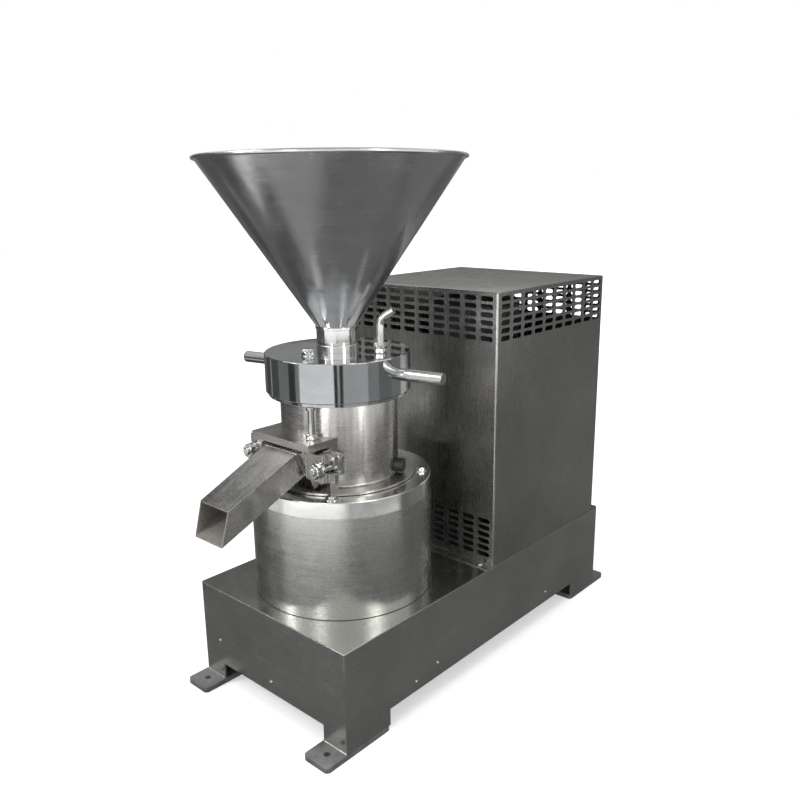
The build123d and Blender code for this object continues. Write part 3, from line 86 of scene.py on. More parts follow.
spout_slope = radians(23.4)
spout_reach, spout_lift = 0.1451, 0.0776
spout_root = Vector((0, mill[1] - spout_reach, drum_high.z + spout_lift))
spout_half_width, spout_depth, spout_taper = 0.0422, 0.048, 0.0253
half_wall = 0.001
neck_top = 0.7165


# Small tools for shader nodes

class Nodes:
    """Adds nodes to a tree and joins them."""

    def __init__(self, tree):
        self.tree = tree

    def add(self, kind, **settings):
        node = self.tree.nodes.new(kind)
        for key, value in settings.items():
            setattr(node, key, value)
        return node

    def link(self, source, target):
        self.tree.links.new(source, target)

    def put(self, value, socket):
        """Links a value that comes from a node, and writes any other into the socket."""
        if isinstance(value, bpy.types.NodeSocket):
            self.link(value, socket)
        else:
            socket.default_value = value

    def feed(self, node, **inputs):
        for key, value in inputs.items():
            self.put(value, node.inputs[key.replace("_", " ")])
        return node

    def remap(self, value, low, high, new_low, new_high):
        node = self.add("ShaderNodeMapRange")
        node.inputs["From Min"].default_value = low
        node.inputs["From Max"].default_value = high
        node.inputs["To Min"].default_value = new_low
        node.inputs["To Max"].default_value = new_high
        self.link(value, node.inputs["Value"])
        return node.outputs["Result"]

    def math(self, operation, first, second=0.0):
        node = self.add("ShaderNodeMath", operation=operation)
        for socket, value in zip(node.inputs, (first, second)):
            self.put(value, socket)
        return node.outputs[0]

    def mix(self, factor, first, second):
        node = self.add("ShaderNodeMix", data_type="RGBA")
        self.put(factor, node.inputs[0])
        for colour, socket in ((first, node.inputs[6]), (second, node.inputs[7])):
            self.put((*colour, 1.0) if isinstance(colour, tuple) else colour, socket)
        return node.outputs[2]

    def seen(self):
        """1 for rays that show the white ground, from the camera, mirrored or refracted, and 0 for others."""
        path = self.add("ShaderNodeLightPath")
        bent = self.math("MAXIMUM", path.outputs["Is Glossy Ray"], path.outputs["Is Transmission Ray"])
        return self.math("MAXIMUM", path.outputs["Is Camera Ray"], bent)


class Shader(Nodes):
    """A material that is built node by node, with its coordinates in metres in the frame."""

    def __init__(self, name):
        self.material = bpy.data.materials.new(name)
        self.material.use_nodes = True
        super().__init__(self.material.node_tree)
        self.surface = self.tree.nodes["Principled BSDF"]
        self.place = self.add("ShaderNodeTexCoord").outputs["Object"]

    def stretched(self, scale):
        mapping = self.add("ShaderNodeMapping")
        self.feed(mapping, Vector=self.place, Scale=scale)
        return mapping.outputs["Vector"]

    def noise(self, scale, detail=3.0, roughness=0.5, vector=None, distortion=0.0):
        node = self.add("ShaderNodeTexNoise")
        self.feed(node, Vector=vector or self.place, Scale=scale, Detail=detail, Roughness=roughness,
                  Distortion=distortion)
        return node.outputs["Fac"]

    def bumps(self, layers, edge):
        """Chains (height, distance) layers of bump on a normal that is rounded at the edges."""
        normal = self.feed(self.add("ShaderNodeBevel", samples=4), Radius=edge).outputs["Normal"]
        for height, distance in layers:
            bump = self.add("ShaderNodeBump")
            self.feed(bump, Strength=1.0, Distance=distance, Height=height, Normal=normal)
            normal = bump.outputs["Normal"]
        self.link(normal, self.surface.inputs["Normal"])


def shade(colour, factor):
    """A colour made darker or lighter."""
    return tuple(channel * factor for channel in colour)


# Kinds of surface

plate_edge, fine_edge, moulded_edge = 0.0012, 0.0008, 0.0006
cloud_bump = 0.0003
orange_peel = 0.00012
rust = (0.16, 0.12, 0.09)
dust_tone = 0.06
bright_steel = (0.62, 0.62, 0.61)
bright_roughness = 0.4
bright_blend = 0.0015
# The dull steel inside the spout's tube: its darker colour is partly painted shade.
inner_steel_and_shade = (0.28, 0.268, 0.245)
inner_metallic = 0.45


def brushed(name, colour, roughness, grain, grain_bump=0.00002, grain_tone=0.2, mottle=0.18,
            mottle_scale=7.0, spots=0.0, bright_below=None, inside=None):
    """Worked stainless steel: grain is the stretch of the brushing, mottle the cloudy change of tone.
    Below the height bright_below it is polished bright; where inside marks, it is dull, and darker with
    painted shade."""
    s = Shader(name)
    lines = s.noise(1.0, 4.0, 0.65, s.stretched(grain))
    cloud = s.noise(mottle_scale, 4.0, 0.55, distortion=0.6)
    fine = s.noise(mottle_scale * 9, 3.0, 0.6)
    tone = s.mix(s.remap(cloud, 0.3, 0.7, 0, 1), shade(colour, 1 - mottle), shade(colour, 1 + mottle))
    tone = s.mix(s.remap(lines, 0.3, 0.7, 0, grain_tone), tone, shade(colour, 1.25))
    if spots:
        speck = s.remap(s.noise(160.0, 2.0), 0.66, 0.72, 0, spots)
        tone = s.mix(speck, tone, shade(colour, 0.35))
    rough = s.math("ADD", s.remap(lines, 0.25, 0.75, roughness - 0.05, roughness + 0.07),
                   s.remap(fine, 0.3, 0.7, -0.03, 0.04))
    if bright_below:
        split = s.add("ShaderNodeSeparateXYZ")
        s.link(s.place, split.inputs[0])
        bright = s.remap(split.outputs["Z"], bright_below, bright_below + bright_blend, 1, 0)
        tone = s.mix(bright, tone, bright_steel)
        rough = s.math("MULTIPLY", rough, s.remap(bright, 0, 1, 1, bright_roughness))
    s.surface.inputs["Metallic"].default_value = 1.0
    if inside:
        within = inside(s)
        tone = s.mix(within, tone, inner_steel_and_shade)
        s.link(s.remap(within, 0, 1, 1, inner_metallic), s.surface.inputs["Metallic"])
    s.link(tone, s.surface.inputs["Base Color"])
    s.link(rough, s.surface.inputs["Roughness"])
    s.bumps([(lines, grain_bump), (cloud, cloud_bump)], plate_edge)
    return s.material


def polished(name, colour, roughness, waviness=0.0002, turned=0.0):
    """Bright polished steel with faint smears, and fine turning lines where turned isn't 0."""
    s = Shader(name)
    smear = s.noise(14.0, 4.0, 0.6, distortion=0.8)
    tone = s.mix(s.remap(smear, 0.35, 0.7, 0, 1), colour, shade(colour, 0.86))
    s.link(tone, s.surface.inputs["Base Color"])
    s.feed(s.surface, Metallic=1.0, Roughness=s.remap(smear, 0.3, 0.75, roughness * 0.7, roughness * 1.5))
    layers = [(s.noise(22.0, 2.0), waviness)]
    if turned:
        layers.append((s.noise(1.0, 3.0, 0.6, s.stretched((6, 6, 2600))), turned))
    s.bumps(layers, fine_edge)
    return s.material


def rough_plate(name, colour, roughness, bump):
    """Mill plate with a blasted, slightly rusty skin."""
    s = Shader(name)
    cloud = s.noise(18.0, 5.0, 0.65)
    grit = s.noise(420.0, 3.0, 0.7)
    tone = s.mix(s.remap(cloud, 0.35, 0.65, 0, 1), shade(colour, 0.7), shade(colour, 1.25))
    tone = s.mix(s.remap(s.noise(55.0, 4.0, 0.7), 0.6, 0.72, 0, 0.35), tone, rust)
    s.link(tone, s.surface.inputs["Base Color"])
    s.feed(s.surface, Metallic=0.75, Roughness=s.remap(grit, 0.3, 0.7, roughness - 0.08, roughness + 0.1))
    s.bumps([(grit, bump), (cloud, bump * 4)], plate_edge)
    return s.material


def painted(name, colour, roughness):
    """Enamel with a little orange peel."""
    s = Shader(name)
    cloud = s.noise(9.0, 3.0)
    s.link(s.mix(s.remap(cloud, 0.3, 0.7, 0, 1), shade(colour, 0.88), shade(colour, 1.1)),
           s.surface.inputs["Base Color"])
    s.feed(s.surface, Roughness=s.remap(cloud, 0.3, 0.7, roughness - 0.05, roughness + 0.06))
    s.bumps([(s.noise(260.0, 2.0), orange_peel)], fine_edge)
    return s.material


def moulded(name, colour, roughness, grain=0.00006):
    """Plastic or rubber with a fine moulded grain."""
    s = Shader(name)
    grit = s.noise(900.0, 2.0)
    dust = s.noise(35.0, 4.0, 0.6)
    s.link(s.mix(s.remap(dust, 0.5, 0.8, 0, 0.35), colour, tuple(c + dust_tone for c in colour)),
           s.surface.inputs["Base Color"])
    s.feed(s.surface, Roughness=s.remap(dust, 0.3, 0.7, roughness - 0.05, roughness + 0.1))
    s.bumps([(grit, grain)], moulded_edge)
    return s.material


def spout_inside(s):
    """1 inside the square tube of the spout, 0 elsewhere."""
    offset = s.add("ShaderNodeVectorMath", operation="SUBTRACT")
    s.link(s.place, offset.inputs[0])
    offset.inputs[1].default_value = spout_root

    def along(direction):
        dot = s.add("ShaderNodeVectorMath", operation="DOT_PRODUCT")
        s.link(offset.outputs["Vector"], dot.inputs[0])
        dot.inputs[1].default_value = direction
        return dot.outputs["Value"]

    length = along((0, -cos(spout_slope), -sin(spout_slope)))
    height = along((0, -sin(spout_slope), cos(spout_slope)))
    side = s.math("ABSOLUTE", along((1, 0, 0)))
    narrow = s.math("MULTIPLY", length, spout_taper)
    fits = s.math("LESS_THAN", s.math("ADD", side, narrow), spout_half_width - half_wall)
    below = s.math("LESS_THAN", height, -half_wall)
    above = s.math("GREATER_THAN", height, half_wall - spout_depth)
    return s.math("MULTIPLY", fits, s.math("MULTIPLY", below, above))


# Materials

base_steel = brushed("base_steel", (0.5, 0.508, 0.48), 0.22, (9, 9, 420), mottle=0.14, mottle_scale=5.0)
cover_steel = brushed("cover_steel", (0.39, 0.386, 0.373), 0.26, (420, 420, 9), grain_bump=0.00001,
                      grain_tone=0.12, mottle=0.16, mottle_scale=3.5)
drum_steel = brushed("drum_steel", (0.5, 0.5, 0.478), 0.25, (9, 9, 520), grain_bump=0.000008,
                     grain_tone=0.12, mottle=0.1, mottle_scale=5.0)
hopper_steel = brushed("hopper_steel", (0.57, 0.572, 0.576), 0.2, (5, 5, 600), grain_bump=0.000006,
                       grain_tone=0.1, mottle=0.1, mottle_scale=4.0, spots=0.2, bright_below=neck_top)
body_steel = brushed("body_steel", (0.46, 0.45, 0.43), 0.27, (8, 8, 700), grain_bump=0.00001,
                     mottle=0.16, mottle_scale=16.0)
spout_steel = brushed("spout_steel", (0.45, 0.443, 0.425), 0.26, (140, 12, 12), mottle=0.28,
                      mottle_scale=22.0, spots=0.4, inside=spout_inside)
weld_steel = brushed("weld_steel", (0.5, 0.48, 0.45), 0.32, (90, 90, 90), mottle=0.3, mottle_scale=60.0)
ring_steel = polished("ring_steel", (0.6, 0.62, 0.63), 0.06, turned=0.00001)
flange_steel = polished("flange_steel", (0.7, 0.7, 0.68), 0.16, turned=0.00002)
bolt_steel = polished("bolt_steel", (0.6, 0.6, 0.58), 0.14, waviness=0.0004)
handle_steel = polished("handle_steel", (0.5, 0.5, 0.49), 0.16, waviness=0.0003)
foot_steel = rough_plate("foot_steel", (0.24, 0.24, 0.24), 0.55, 0.00025)
frame_steel = painted("frame_steel", (0.06, 0.065, 0.07), 0.5)
motor_enamel = painted("motor_enamel", (0.05, 0.062, 0.058), 0.42)
cast_grey = rough_plate("cast_grey", (0.14, 0.14, 0.145), 0.5, 0.0003)
ground_steel = polished("ground_steel", (0.5, 0.5, 0.5), 0.2, turned=0.00002)
core_steel = brushed("core_steel", (0.1, 0.09, 0.08), 0.5, (4, 4, 1500))
motor_alloy = rough_plate("motor_alloy", (0.4, 0.4, 0.41), 0.45, 0.0002)
black_plastic = moulded("black_plastic", (0.012, 0.012, 0.012), 0.35)
black_rubber = moulded("black_rubber", (0.02, 0.02, 0.02), 0.6, 0.0001)
pale_rubber = moulded("pale_rubber", (0.55, 0.54, 0.5), 0.55)

finishes = (
    (base_steel, "base_shell"),
    (cover_steel, "motor_cover"),
    (drum_steel, "drum_shell"),
    (hopper_steel, "hopper"),
    (body_steel, "mill_body discharge_scraper"),
    (spout_steel, "spout"),
    (ring_steel, "adjusting_ring"),
    (flange_steel, "drum_flange feed_collar"),
    (bolt_steel, "clevis_pins plate_bolts flange_bolts cover_screws drum_bolts ring_bolts spindle_nut"),
    (bolt_steel, "water_nozzle nozzle_nuts locking_screw locking_nut"),
    (bolt_steel, "left_swing_bolt right_swing_bolt left_bolt_nut right_bolt_nut"),
    (handle_steel, "left_handle right_handle"),
    (foot_steel, "foot_plates"),
    (frame_steel, "base_frame motor_plate"),
    (motor_enamel, "drive_shield motor_frame rear_shield fan_cowl terminal_box"),
    (cast_grey, "bearing_housing mill_pulley motor_pulley"),
    (ground_steel, "lower_bearing upper_bearing motor_bearings spindle_shaft motor_shaft"),
    (ground_steel, "rotor feed_cone stator"),
    (core_steel, "stator_core"),
    (motor_alloy, "rotor_core"),
    (black_plastic, "cable_gland drain_plug cooling_fan"),
    (black_rubber, "shaft_seal v_belts"),
    (pale_rubber, "spout_gasket"),
)
for material, names in finishes:
    for name in names.split():
        mesh = nodes[name].data
        mesh.materials.clear()
        mesh.materials.append(material)


def soften(name, width):
    """Rounds the sharp edges of a node, as folding and grinding leave them."""
    join = nodes[name].modifiers.new("join", "WELD")
    join.merge_threshold = 0.00001
    rounding = nodes[name].modifiers.new("rounding", "BEVEL")
    rounding.width = width
    rounding.segments = 3
    rounding.limit_method = "ANGLE"
    rounding.angle_limit = radians(40)
    rounding.harden_normals = True


soften("base_shell", 0.0016)
soften("foot_plates", 0.0012)
soften("mill_body", 0.0009)
soften("spout", 0.001)


# Small tools for pieces

def piece(name, mesh, body, material, replaces=()):
    """Puts a mesh in the scene as a piece that rides on a body of the frame."""
    obj = bpy.data.objects.new(name, mesh)
    bpy.context.scene.collection.objects.link(obj)
    mesh.materials.clear()
    mesh.materials.append(material)
    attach(obj, body)
    if replaces:
        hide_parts(*replaces)


def mesh_of(bm, name, smooth_below=32.0):
    """Makes a mesh of bm, smooth except where faces meet at more than smooth_below degrees."""
    bmesh.ops.recalc_face_normals(bm, faces=bm.faces)
    limit = radians(smooth_below)
    for face in bm.faces:
        face.smooth = True
    for edge in bm.edges:
        edge.smooth = len(edge.link_faces) == 2 and edge.calc_face_angle(0.0) < limit
    mesh = bpy.data.meshes.new(name)
    bm.to_mesh(mesh)
    bm.free()
    return mesh


def axis_turn(direction):
    """Rotation that takes +Z to direction."""
    return Vector((0, 0, 1)).rotation_difference(Vector(direction).normalized()).to_matrix().to_4x4()


def rings(bm, profile, around, place, radius_at=None):
    """Skins a closed round form. The profile is (radius, height) pairs from bottom to top, and lies on
    the axis at both ends."""
    rows = []
    for radius, height in profile:
        if radius < 1e-6:
            rows.append([bm.verts.new(place @ Vector((0, 0, height)))])
            continue
        row = []
        for step in range(around):
            angle = 2 * pi * step / around
            r = min(radius, radius_at(angle)) if radius_at else radius
            row.append(bm.verts.new(place @ Vector((r * cos(angle), r * sin(angle), height))))
        rows.append(row)
    for low, high in zip(rows, rows[1:]):
        for step in range(around):
            after = (step + 1) % around
            if len(low) == 1:
                bm.faces.new((low[0], high[step], high[after]))
            elif len(high) == 1:
                bm.faces.new((low[step], low[after], high[0]))
            else:
                bm.faces.new((low[step], low[after], high[after], high[step]))


def hexagon(flats):
    """Gives the radius of a hexagon at any angle round it."""
    def at(angle):
        return flats / 2 / cos((angle + pi / 6) % (pi / 3) - pi / 6)
    return at


def add_hex(bm, place, flats, height, both_ends=True):
    """A hexagon nut or bolt head with the round chamfer that turning leaves on its corners."""
    corner = flats / 2 / cos(pi / 6)
    face = flats * 0.47
    drop = (corner - face) * 0.58
    low = [(face, 0), (corner, drop)] if both_ends else [(corner, 0)]
    profile = [(0, 0), *low, (corner, height - drop), (face, height), (0, height)]
    rings(bm, profile, 72, place, hexagon(flats))


def add_box(bm, low, high):
    """A sharp box between two corners."""
    span = high - low
    matrix = Matrix.Translation((low + high) / 2) @ Matrix.Diagonal((*span, 1))
    return bmesh.ops.create_cube(bm, size=1.0, matrix=matrix)


def add_block(bm, low, high, bevel):
    """A box with slightly rounded edges."""
    made = add_box(bm, Vector(low), Vector(high))
    edges = list({edge for vert in made["verts"] for edge in vert.link_edges})
    bmesh.ops.bevel(bm, geom=edges, offset=bevel, segments=3, affect="EDGES", profile=0.5)


def spline(curve, points):
    """Adds a straight-sided spline through points in two or three dimensions."""
    made = curve.splines.new("POLY")
    made.points.add(len(points) - 1)
    for point, place in zip(made.points, points):
        point.co = (*place, *[0] * (3 - len(place)), 1)
    return made


def mesh_from(curve):
    """Turns a curve into a mesh."""
    holder = bpy.data.objects.new(curve.name, curve)
    mesh = bpy.data.meshes.new_from_object(holder)
    bpy.data.objects.remove(holder)
    return mesh


def joint_bead(name, points, radius, material, closed=False):
    """A bead on the base body along points: a rippled tube half sunk in the joint. In steel it is a welding
    bead, and in black it is a line of painted shade in the joint.
    """
    curve = bpy.data.curves.new(name, "CURVE")
    curve.dimensions = "3D"
    curve.bevel_depth = radius
    curve.bevel_resolution = 2
    steps = []
    for start, end in zip(points, points[1:] + (points[:1] if closed else [])):
        start, end = Vector(start), Vector(end)
        count = max(2, int((end - start).length / (radius * 0.7)))
        steps += [start.lerp(end, i / count) for i in range(count)]
    if not closed:
        steps.append(Vector(points[-1]))
    bead = spline(curve, steps)
    bead.use_cyclic_u = closed
    for i, point in enumerate(bead.points):
        point.radius = 0.82 + 0.16 * sin(i * 2.1) + 0.1 * sin(i * 0.61)
    mesh = mesh_from(curve)
    for polygon in mesh.polygons:
        polygon.use_smooth = True
    piece(name, mesh, "base", material)


def arc(centre, radius, z, start, end, step=3.0):
    """Points on a level arc, from start to end degrees."""
    count = max(2, ceil(abs(end - start) / step))
    points = []
    for i in range(count + 1):
        angle = radians(start + (end - start) * i / count)
        points.append((centre[0] + radius * cos(angle), centre[1] + radius * sin(angle), z))
    return points


# Motor cover with round-ended vents

vent_columns, vent_rows = 10, 6
vent_length, vent_height = 0.030, 0.0096
vent_pitch_x, vent_pitch_z = 0.0385, 0.0151
low_pitch_z = 0.0143
vent_drop, low_vent_lift = 0.0133, 0.022
vent_end_steps = 8
sheet = 0.002
fold = 0.003
flange_bevel = 0.0005
cover_flange = 0.022
cover_front = cover_low.y + cover_flange
cover_rear = cover_high.y - cover_flange


def slotted_panel(name, width, height, slots):
    """A flat sheet in its own X and Y, centred on its lower edge, with round-ended slots at given places."""
    curve = bpy.data.curves.new(name, "CURVE")
    curve.dimensions = "2D"
    curve.fill_mode = "BOTH"
    curve.extrude = sheet / 2
    outlines = [[(-width / 2, 0), (width / 2, 0), (width / 2, height), (-width / 2, height)]]
    r = vent_height / 2
    for x, y in slots:
        ends = []
        for side in (1, -1):
            for step in range(vent_end_steps + 1):
                angle = -pi / 2 + pi * step / vent_end_steps
                ends.append((x + side * (vent_length / 2 - r + r * cos(angle)), y + side * r * sin(angle)))
        outlines.append(ends)
    for outline in outlines:
        spline(curve, outline).use_cyclic_u = True
    return mesh_from(curve)


def vent_grid(middle, pitch):
    """Centres of the slots in a block of vents whose middle has this height."""
    columns = [(i - (vent_columns - 1) / 2) * vent_pitch_x for i in range(vent_columns)]
    rows = [middle + (i - (vent_rows - 1) / 2) * pitch for i in range(vent_rows)]
    return [(x, y) for x in columns for y in rows]


def build_cover():
    """The folded sheet of the cover: a box with rolled edges, no floor, and a panel in each wall."""
    bm = bmesh.new()
    low = Vector((cover_low.x, cover_front, cover_low.z))
    high = Vector((cover_high.x, cover_rear, cover_high.z))
    middle, span = (low + high) / 2, high - low
    add_box(bm, low, high)
    bm.faces.ensure_lookup_table()
    bottom = [face for face in bm.faces if face.normal.z < -0.5]
    bmesh.ops.delete(bm, geom=bottom, context="FACES_ONLY")
    folds = [edge for edge in bm.edges if len(edge.link_faces) == 2]
    bmesh.ops.bevel(bm, geom=folds, offset=fold, segments=4, affect="EDGES", profile=0.5)
    sides = [f for f in bm.faces if abs(f.normal.z) < 0.01 and f.calc_area() > 0.1]
    bmesh.ops.delete(bm, geom=sides, context="FACES")
    bmesh.ops.recalc_face_normals(bm, faces=bm.faces)
    if any(f.normal.z < -0.9 for f in bm.faces):
        bmesh.ops.reverse_faces(bm, faces=bm.faces)
    bmesh.ops.solidify(bm, geom=list(bm.faces), thickness=sheet)
    panel_height = high.z - fold - low.z
    top_slots = vent_grid(high.z - low.z - vent_drop - (vent_rows - 1) * vent_pitch_z / 2, vent_pitch_z)
    low_slots = vent_grid(low_vent_lift + (vent_rows - 1) * low_pitch_z / 2, low_pitch_z)
    walls = (
        ((middle.x, low.y), (1, 0, 0), (0, -1, 0), span.x, top_slots + low_slots),
        ((middle.x, high.y), (-1, 0, 0), (0, 1, 0), span.x, top_slots),
        ((high.x, middle.y), (0, 1, 0), (1, 0, 0), span.y, top_slots),
        ((low.x, middle.y), (0, -1, 0), (-1, 0, 0), span.y, []),
    )
    for number, (centre, along, out, width, slots) in enumerate(walls):
        mesh = slotted_panel(f"panel_{number}", width - 2 * fold, panel_height, slots)
        turn = Matrix((along, (0, 0, 1), out)).transposed().to_4x4()
        place = Vector((centre[0], centre[1], low.z)) - Vector(out) * sheet / 2
        mesh.transform(Matrix.Translation(place) @ turn)
        bm.from_mesh(mesh)
        bpy.data.meshes.remove(mesh)
    for edge_y, reach_y in ((low.y + fold, cover_low.y), (high.y - fold, cover_high.y)):
        y0, y1 = sorted((edge_y, reach_y))
        add_block(bm, (low.x, y0, low.z), (high.x, y1, low.z + sheet), flange_bevel)
    return mesh_of(bm, "cover_skin")


piece("cover_skin", build_cover(), "base", cover_steel, ["motor_cover"])


# Hexagon heads and nuts

seam = 0.0002
washer_thick, washer_edge = 0.0018, 0.0004
turn_per_angle = 1.7
head_turn = radians(21)


def bolt_heads(name, node, body, radius_out, angles, z, flats, height, washer, nut=0.0):
    """Bolt heads in a circle round the mill, each on its washer, and on a nut where nut is its height."""
    bm = bmesh.new()
    for angle in angles:
        x = mill[0] + radius_out * cos(radians(angle))
        y = mill[1] + radius_out * sin(radians(angle))
        place = Matrix.Translation((x, y, z)) @ Matrix.Rotation(radians(angle * turn_per_angle), 4, "Z")
        top = place @ Matrix.Translation((0, 0, nut)) @ Matrix.Rotation(head_turn, 4, "Z")
        add_hex(bm, top, flats, height, both_ends=bool(nut))
        if nut:
            add_hex(bm, place, flats, nut - seam)
        rim = [(washer, washer_thick - washer_edge), (washer - washer_edge, washer_thick)]
        rings(bm, [(0, 0), (washer, 0), *rim, (0, washer_thick)], 48, place)
        rings(bm, [(0, height - seam), (flats * 0.3, height - seam), (0, height + seam / 2)], 24, top)
    piece(name, mesh_of(bm, name), body, bolt_steel, [node])


bolt_heads("drum_bolt_heads", "drum_bolts", "base", 0.150, (40, 130, 220, 310), drum_high.z,
           flats=0.017, height=0.007, washer=0.0125)
bolt_heads("ring_bolt_heads", "ring_bolts", "ring", 0.072, (-90, 145), ring_top,
           flats=0.019, height=0.006, washer=0.0115, nut=0.0065)

lock_gap = 0.0003
lock_turn = radians(14)


def stacked_nuts(name, node, body, flats):
    """Nuts as tall as a node: one, or two locked together where it is tall."""
    low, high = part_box(node)
    centre = (low + high) / 2
    tall = high.z - low.z
    count = 2 if tall > flats * 0.8 else 1
    each = (tall - lock_gap * (count - 1)) / count
    bm = bmesh.new()
    for i in range(count):
        lift = Matrix.Translation((centre.x, centre.y, low.z + i * (each + lock_gap)))
        add_hex(bm, lift @ Matrix.Rotation(i * lock_turn, 4, "Z"), flats, each)
    piece(name, mesh_of(bm, name), body, bolt_steel, [node])


stacked_nuts("nozzle_hexes", "nozzle_nuts", "ring", 0.021)
stacked_nuts("locking_hex", "locking_nut", "base", 0.019)

clamp_thick = 0.005
clamp_washer = [(0, 0), (0.0136, 0), (0.014, 0.0005), (0.014, 0.0045), (0.0136, clamp_thick),
                (0, clamp_thick)]
clamp_flats, clamp_height = 0.024, 0.012
clamp_turn = radians(11)

for side in ("left", "right"):
    low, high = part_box(f"{side}_bolt_nut")
    centre = (low + high) / 2
    facing = axis_turn((0, -1, 0))
    bm = bmesh.new()
    rings(bm, clamp_washer, 64, Matrix.Translation((centre.x, high.y, centre.z)) @ facing)
    seat = Matrix.Translation((centre.x, high.y - clamp_thick, centre.z)) @ facing
    add_hex(bm, seat @ Matrix.Rotation(clamp_turn, 4, "Z"), clamp_flats, clamp_height)
    piece(f"{side}_hex", mesh_of(bm, f"{side}_hex"), f"{side}_bolt", bolt_steel,
          [f"{side}_bolt_nut"])


# Button-head screws in the panels of the base

button_radius, button_height = 0.0042, 0.0022
button_sunk, button_edge = 0.0005, 0.0003
end_screws = ((0.0024, 0.064), (-0.150, 0.090))
side_screws = ((-0.240, 0.060), (-0.179, 0.070), (0.200, 0.064))


def button(bm, place, out):
    """A domed head with a small socket, its axis along out."""
    profile = [(0, -button_sunk), (button_radius, -button_sunk), (button_radius, button_edge)]
    for step in range(1, 6):
        angle = step * pi / 12
        profile.append((button_radius * cos(angle), button_height * sin(angle) + button_edge))
    profile += [(button_radius * 0.25, button_height * 0.98), (button_radius * 0.22, button_height * 0.55)]
    profile.append((0, button_height * 0.5))
    rings(bm, profile, 28, Matrix.Translation(place) @ axis_turn(out))


bm = bmesh.new()
for x, z in end_screws:
    button(bm, (x, base_low.y, z), (0, -1, 0))
    button(bm, (-x, base_high.y, z), (0, 1, 0))
for side in (-1, 1):
    for y, z in side_screws:
        button(bm, (side * base_high.x, y, z), (side, 0, 0))
piece("base_screws", mesh_of(bm, "base_screws", 50), "base", bolt_steel)


# Welds, and thin black rings of painted shade at the feet of the drum and the body

weld_lift, weld_inset = 0.0004, 0.0005
ear_side, ear_reach = 0.0524, 0.1322
ear_bottom, ear_top = 0.4560, 0.4985
leg_width, leg_corner, foot_top = 0.0565, 0.002, 0.0102
body_foot_radius = 0.1392


def spout_point(along, up, side):
    """A point along the spout from its root, up square to its slope, and to the side."""
    return spout_root + Vector((side, -cos(spout_slope) * along - sin(spout_slope) * up,
                                -sin(spout_slope) * along + cos(spout_slope) * up))


root_corners = ((weld_inset - spout_depth, spout_half_width), (-weld_inset, spout_half_width),
                (-weld_inset, -spout_half_width), (weld_inset - spout_depth, -spout_half_width))
joint_bead("spout_root_weld", [spout_point(weld_lift, up, side) for up, side in root_corners], 0.0014,
     weld_steel)
for side, hand in ((-1, "left"), (1, "right")):
    ear = (side * ear_side, mill[1] - ear_reach)
    joint_bead(f"ear_weld_{hand}", [(*ear, ear_bottom), (*ear, ear_top)], 0.0013, weld_steel)
    for end, leg_y in (("front", base_low.y), ("rear", base_high.y)):
        leg = side * (base_high.x - leg_width)
        corner = side * (base_high.x - leg_corner)
        joint_bead(f"leg_weld_{end}_{hand}", [(leg, leg_y, foot_top), (corner, leg_y, foot_top)], 0.0017,
             weld_steel)
# Thin black rings where the drum stands on the base and the body stands on the drum: painted shade in these
# joints, not welds.
joint_bead("drum_foot_shade_ring", arc(mill, drum_radius + 0.0001, base_high.z + 0.0002, 0, 357), 0.0009,
     black_rubber, closed=True)
joint_bead("body_foot_shade_ring", arc(mill, body_foot_radius, drum_high.z + 0.0003, 0, 357), 0.0008,
     black_rubber, closed=True)


# Studio

def lamp(name, place, aim, width, height, power):
    """A rectangular lamp at place that shines at aim."""
    data = bpy.data.lights.new(name, "AREA")
    data.shape = "RECTANGLE"
    data.size, data.size_y = width, height
    data.energy = power
    obj = bpy.data.objects.new(name, data)
    turn = (Vector(place) - Vector(aim)).to_track_quat("Z", "Y").to_matrix().to_4x4()
    obj.matrix_world = Matrix.Translation(Vector(place)) @ turn
    bpy.context.scene.collection.objects.link(obj)


lamp("key_window", (-1.4, -2.4, 2.2), (0, -0.1, 0.5), 0.9, 2.2, 55)
lamp("right_strip", (2.6, -0.5, 1.5), (0, 0, 0.45), 0.5, 2.0, 15)
lamp("top_box", (0.2, -0.2, 3.0), (0, 0, 0.5), 2.2, 2.2, 45)
lamp("front_strip", (0.8, -3.2, 1.2), (0, -0.2, 0.5), 0.35, 1.6, 12)

floor_reach = 14.0
floor_corners = [(-floor_reach, -floor_reach, 0), (floor_reach, -floor_reach, 0),
                 (floor_reach, floor_reach, 0), (-floor_reach, floor_reach, 0)]
near_distance, far_distance = 1.2, 4.0
near_white, far_white = 0.45, 1.0

floor_mesh = bpy.data.meshes.new("floor")
floor_mesh.from_pydata(floor_corners, [], [(0, 1, 2, 3)])
floor = bpy.data.objects.new("floor", floor_mesh)
bpy.context.scene.collection.objects.link(floor)
paint = Shader("floor_paint")
paint.feed(paint.surface, Base_Color=(0.8, 0.8, 0.8, 1), Roughness=0.9, Emission_Color=(1, 1, 1, 1))
distance = paint.add("ShaderNodeVectorMath", operation="LENGTH")
paint.link(paint.place, distance.inputs[0])
white = paint.remap(distance.outputs["Value"], near_distance, far_distance, near_white, far_white)
paint.feed(paint.surface, Emission_Strength=paint.math("MULTIPLY", paint.seen(), white))
floor_mesh.materials.append(paint.material)


# Cards round the mill that only reflections see

tent_radius = 1.05
tent_top = 1.5
view_angle = degrees(camera_azimuth) - 90  # the cards' angles run from here to the right
card_materials = {}


def glow(strength):
    """A material with an even light of its own."""
    if strength not in card_materials:
        s = Shader(f"card_{round(strength * 100)}")
        s.feed(s.surface, Base_Color=(0, 0, 0, 1), Roughness=1.0, Emission_Color=(1, 1, 1, 1),
               Emission_Strength=strength)
        card_materials[strength] = s.material
    return card_materials[strength]


def only_reflected(name, bm, strength):
    """Makes a card of bm that glossy rays alone meet."""
    mesh = bpy.data.meshes.new(name)
    bm.to_mesh(mesh)
    bm.free()
    mesh.materials.append(glow(strength))
    obj = bpy.data.objects.new(name, mesh)
    bpy.context.scene.collection.objects.link(obj)
    obj.visible_camera = obj.visible_diffuse = obj.visible_transmission = obj.visible_shadow = False


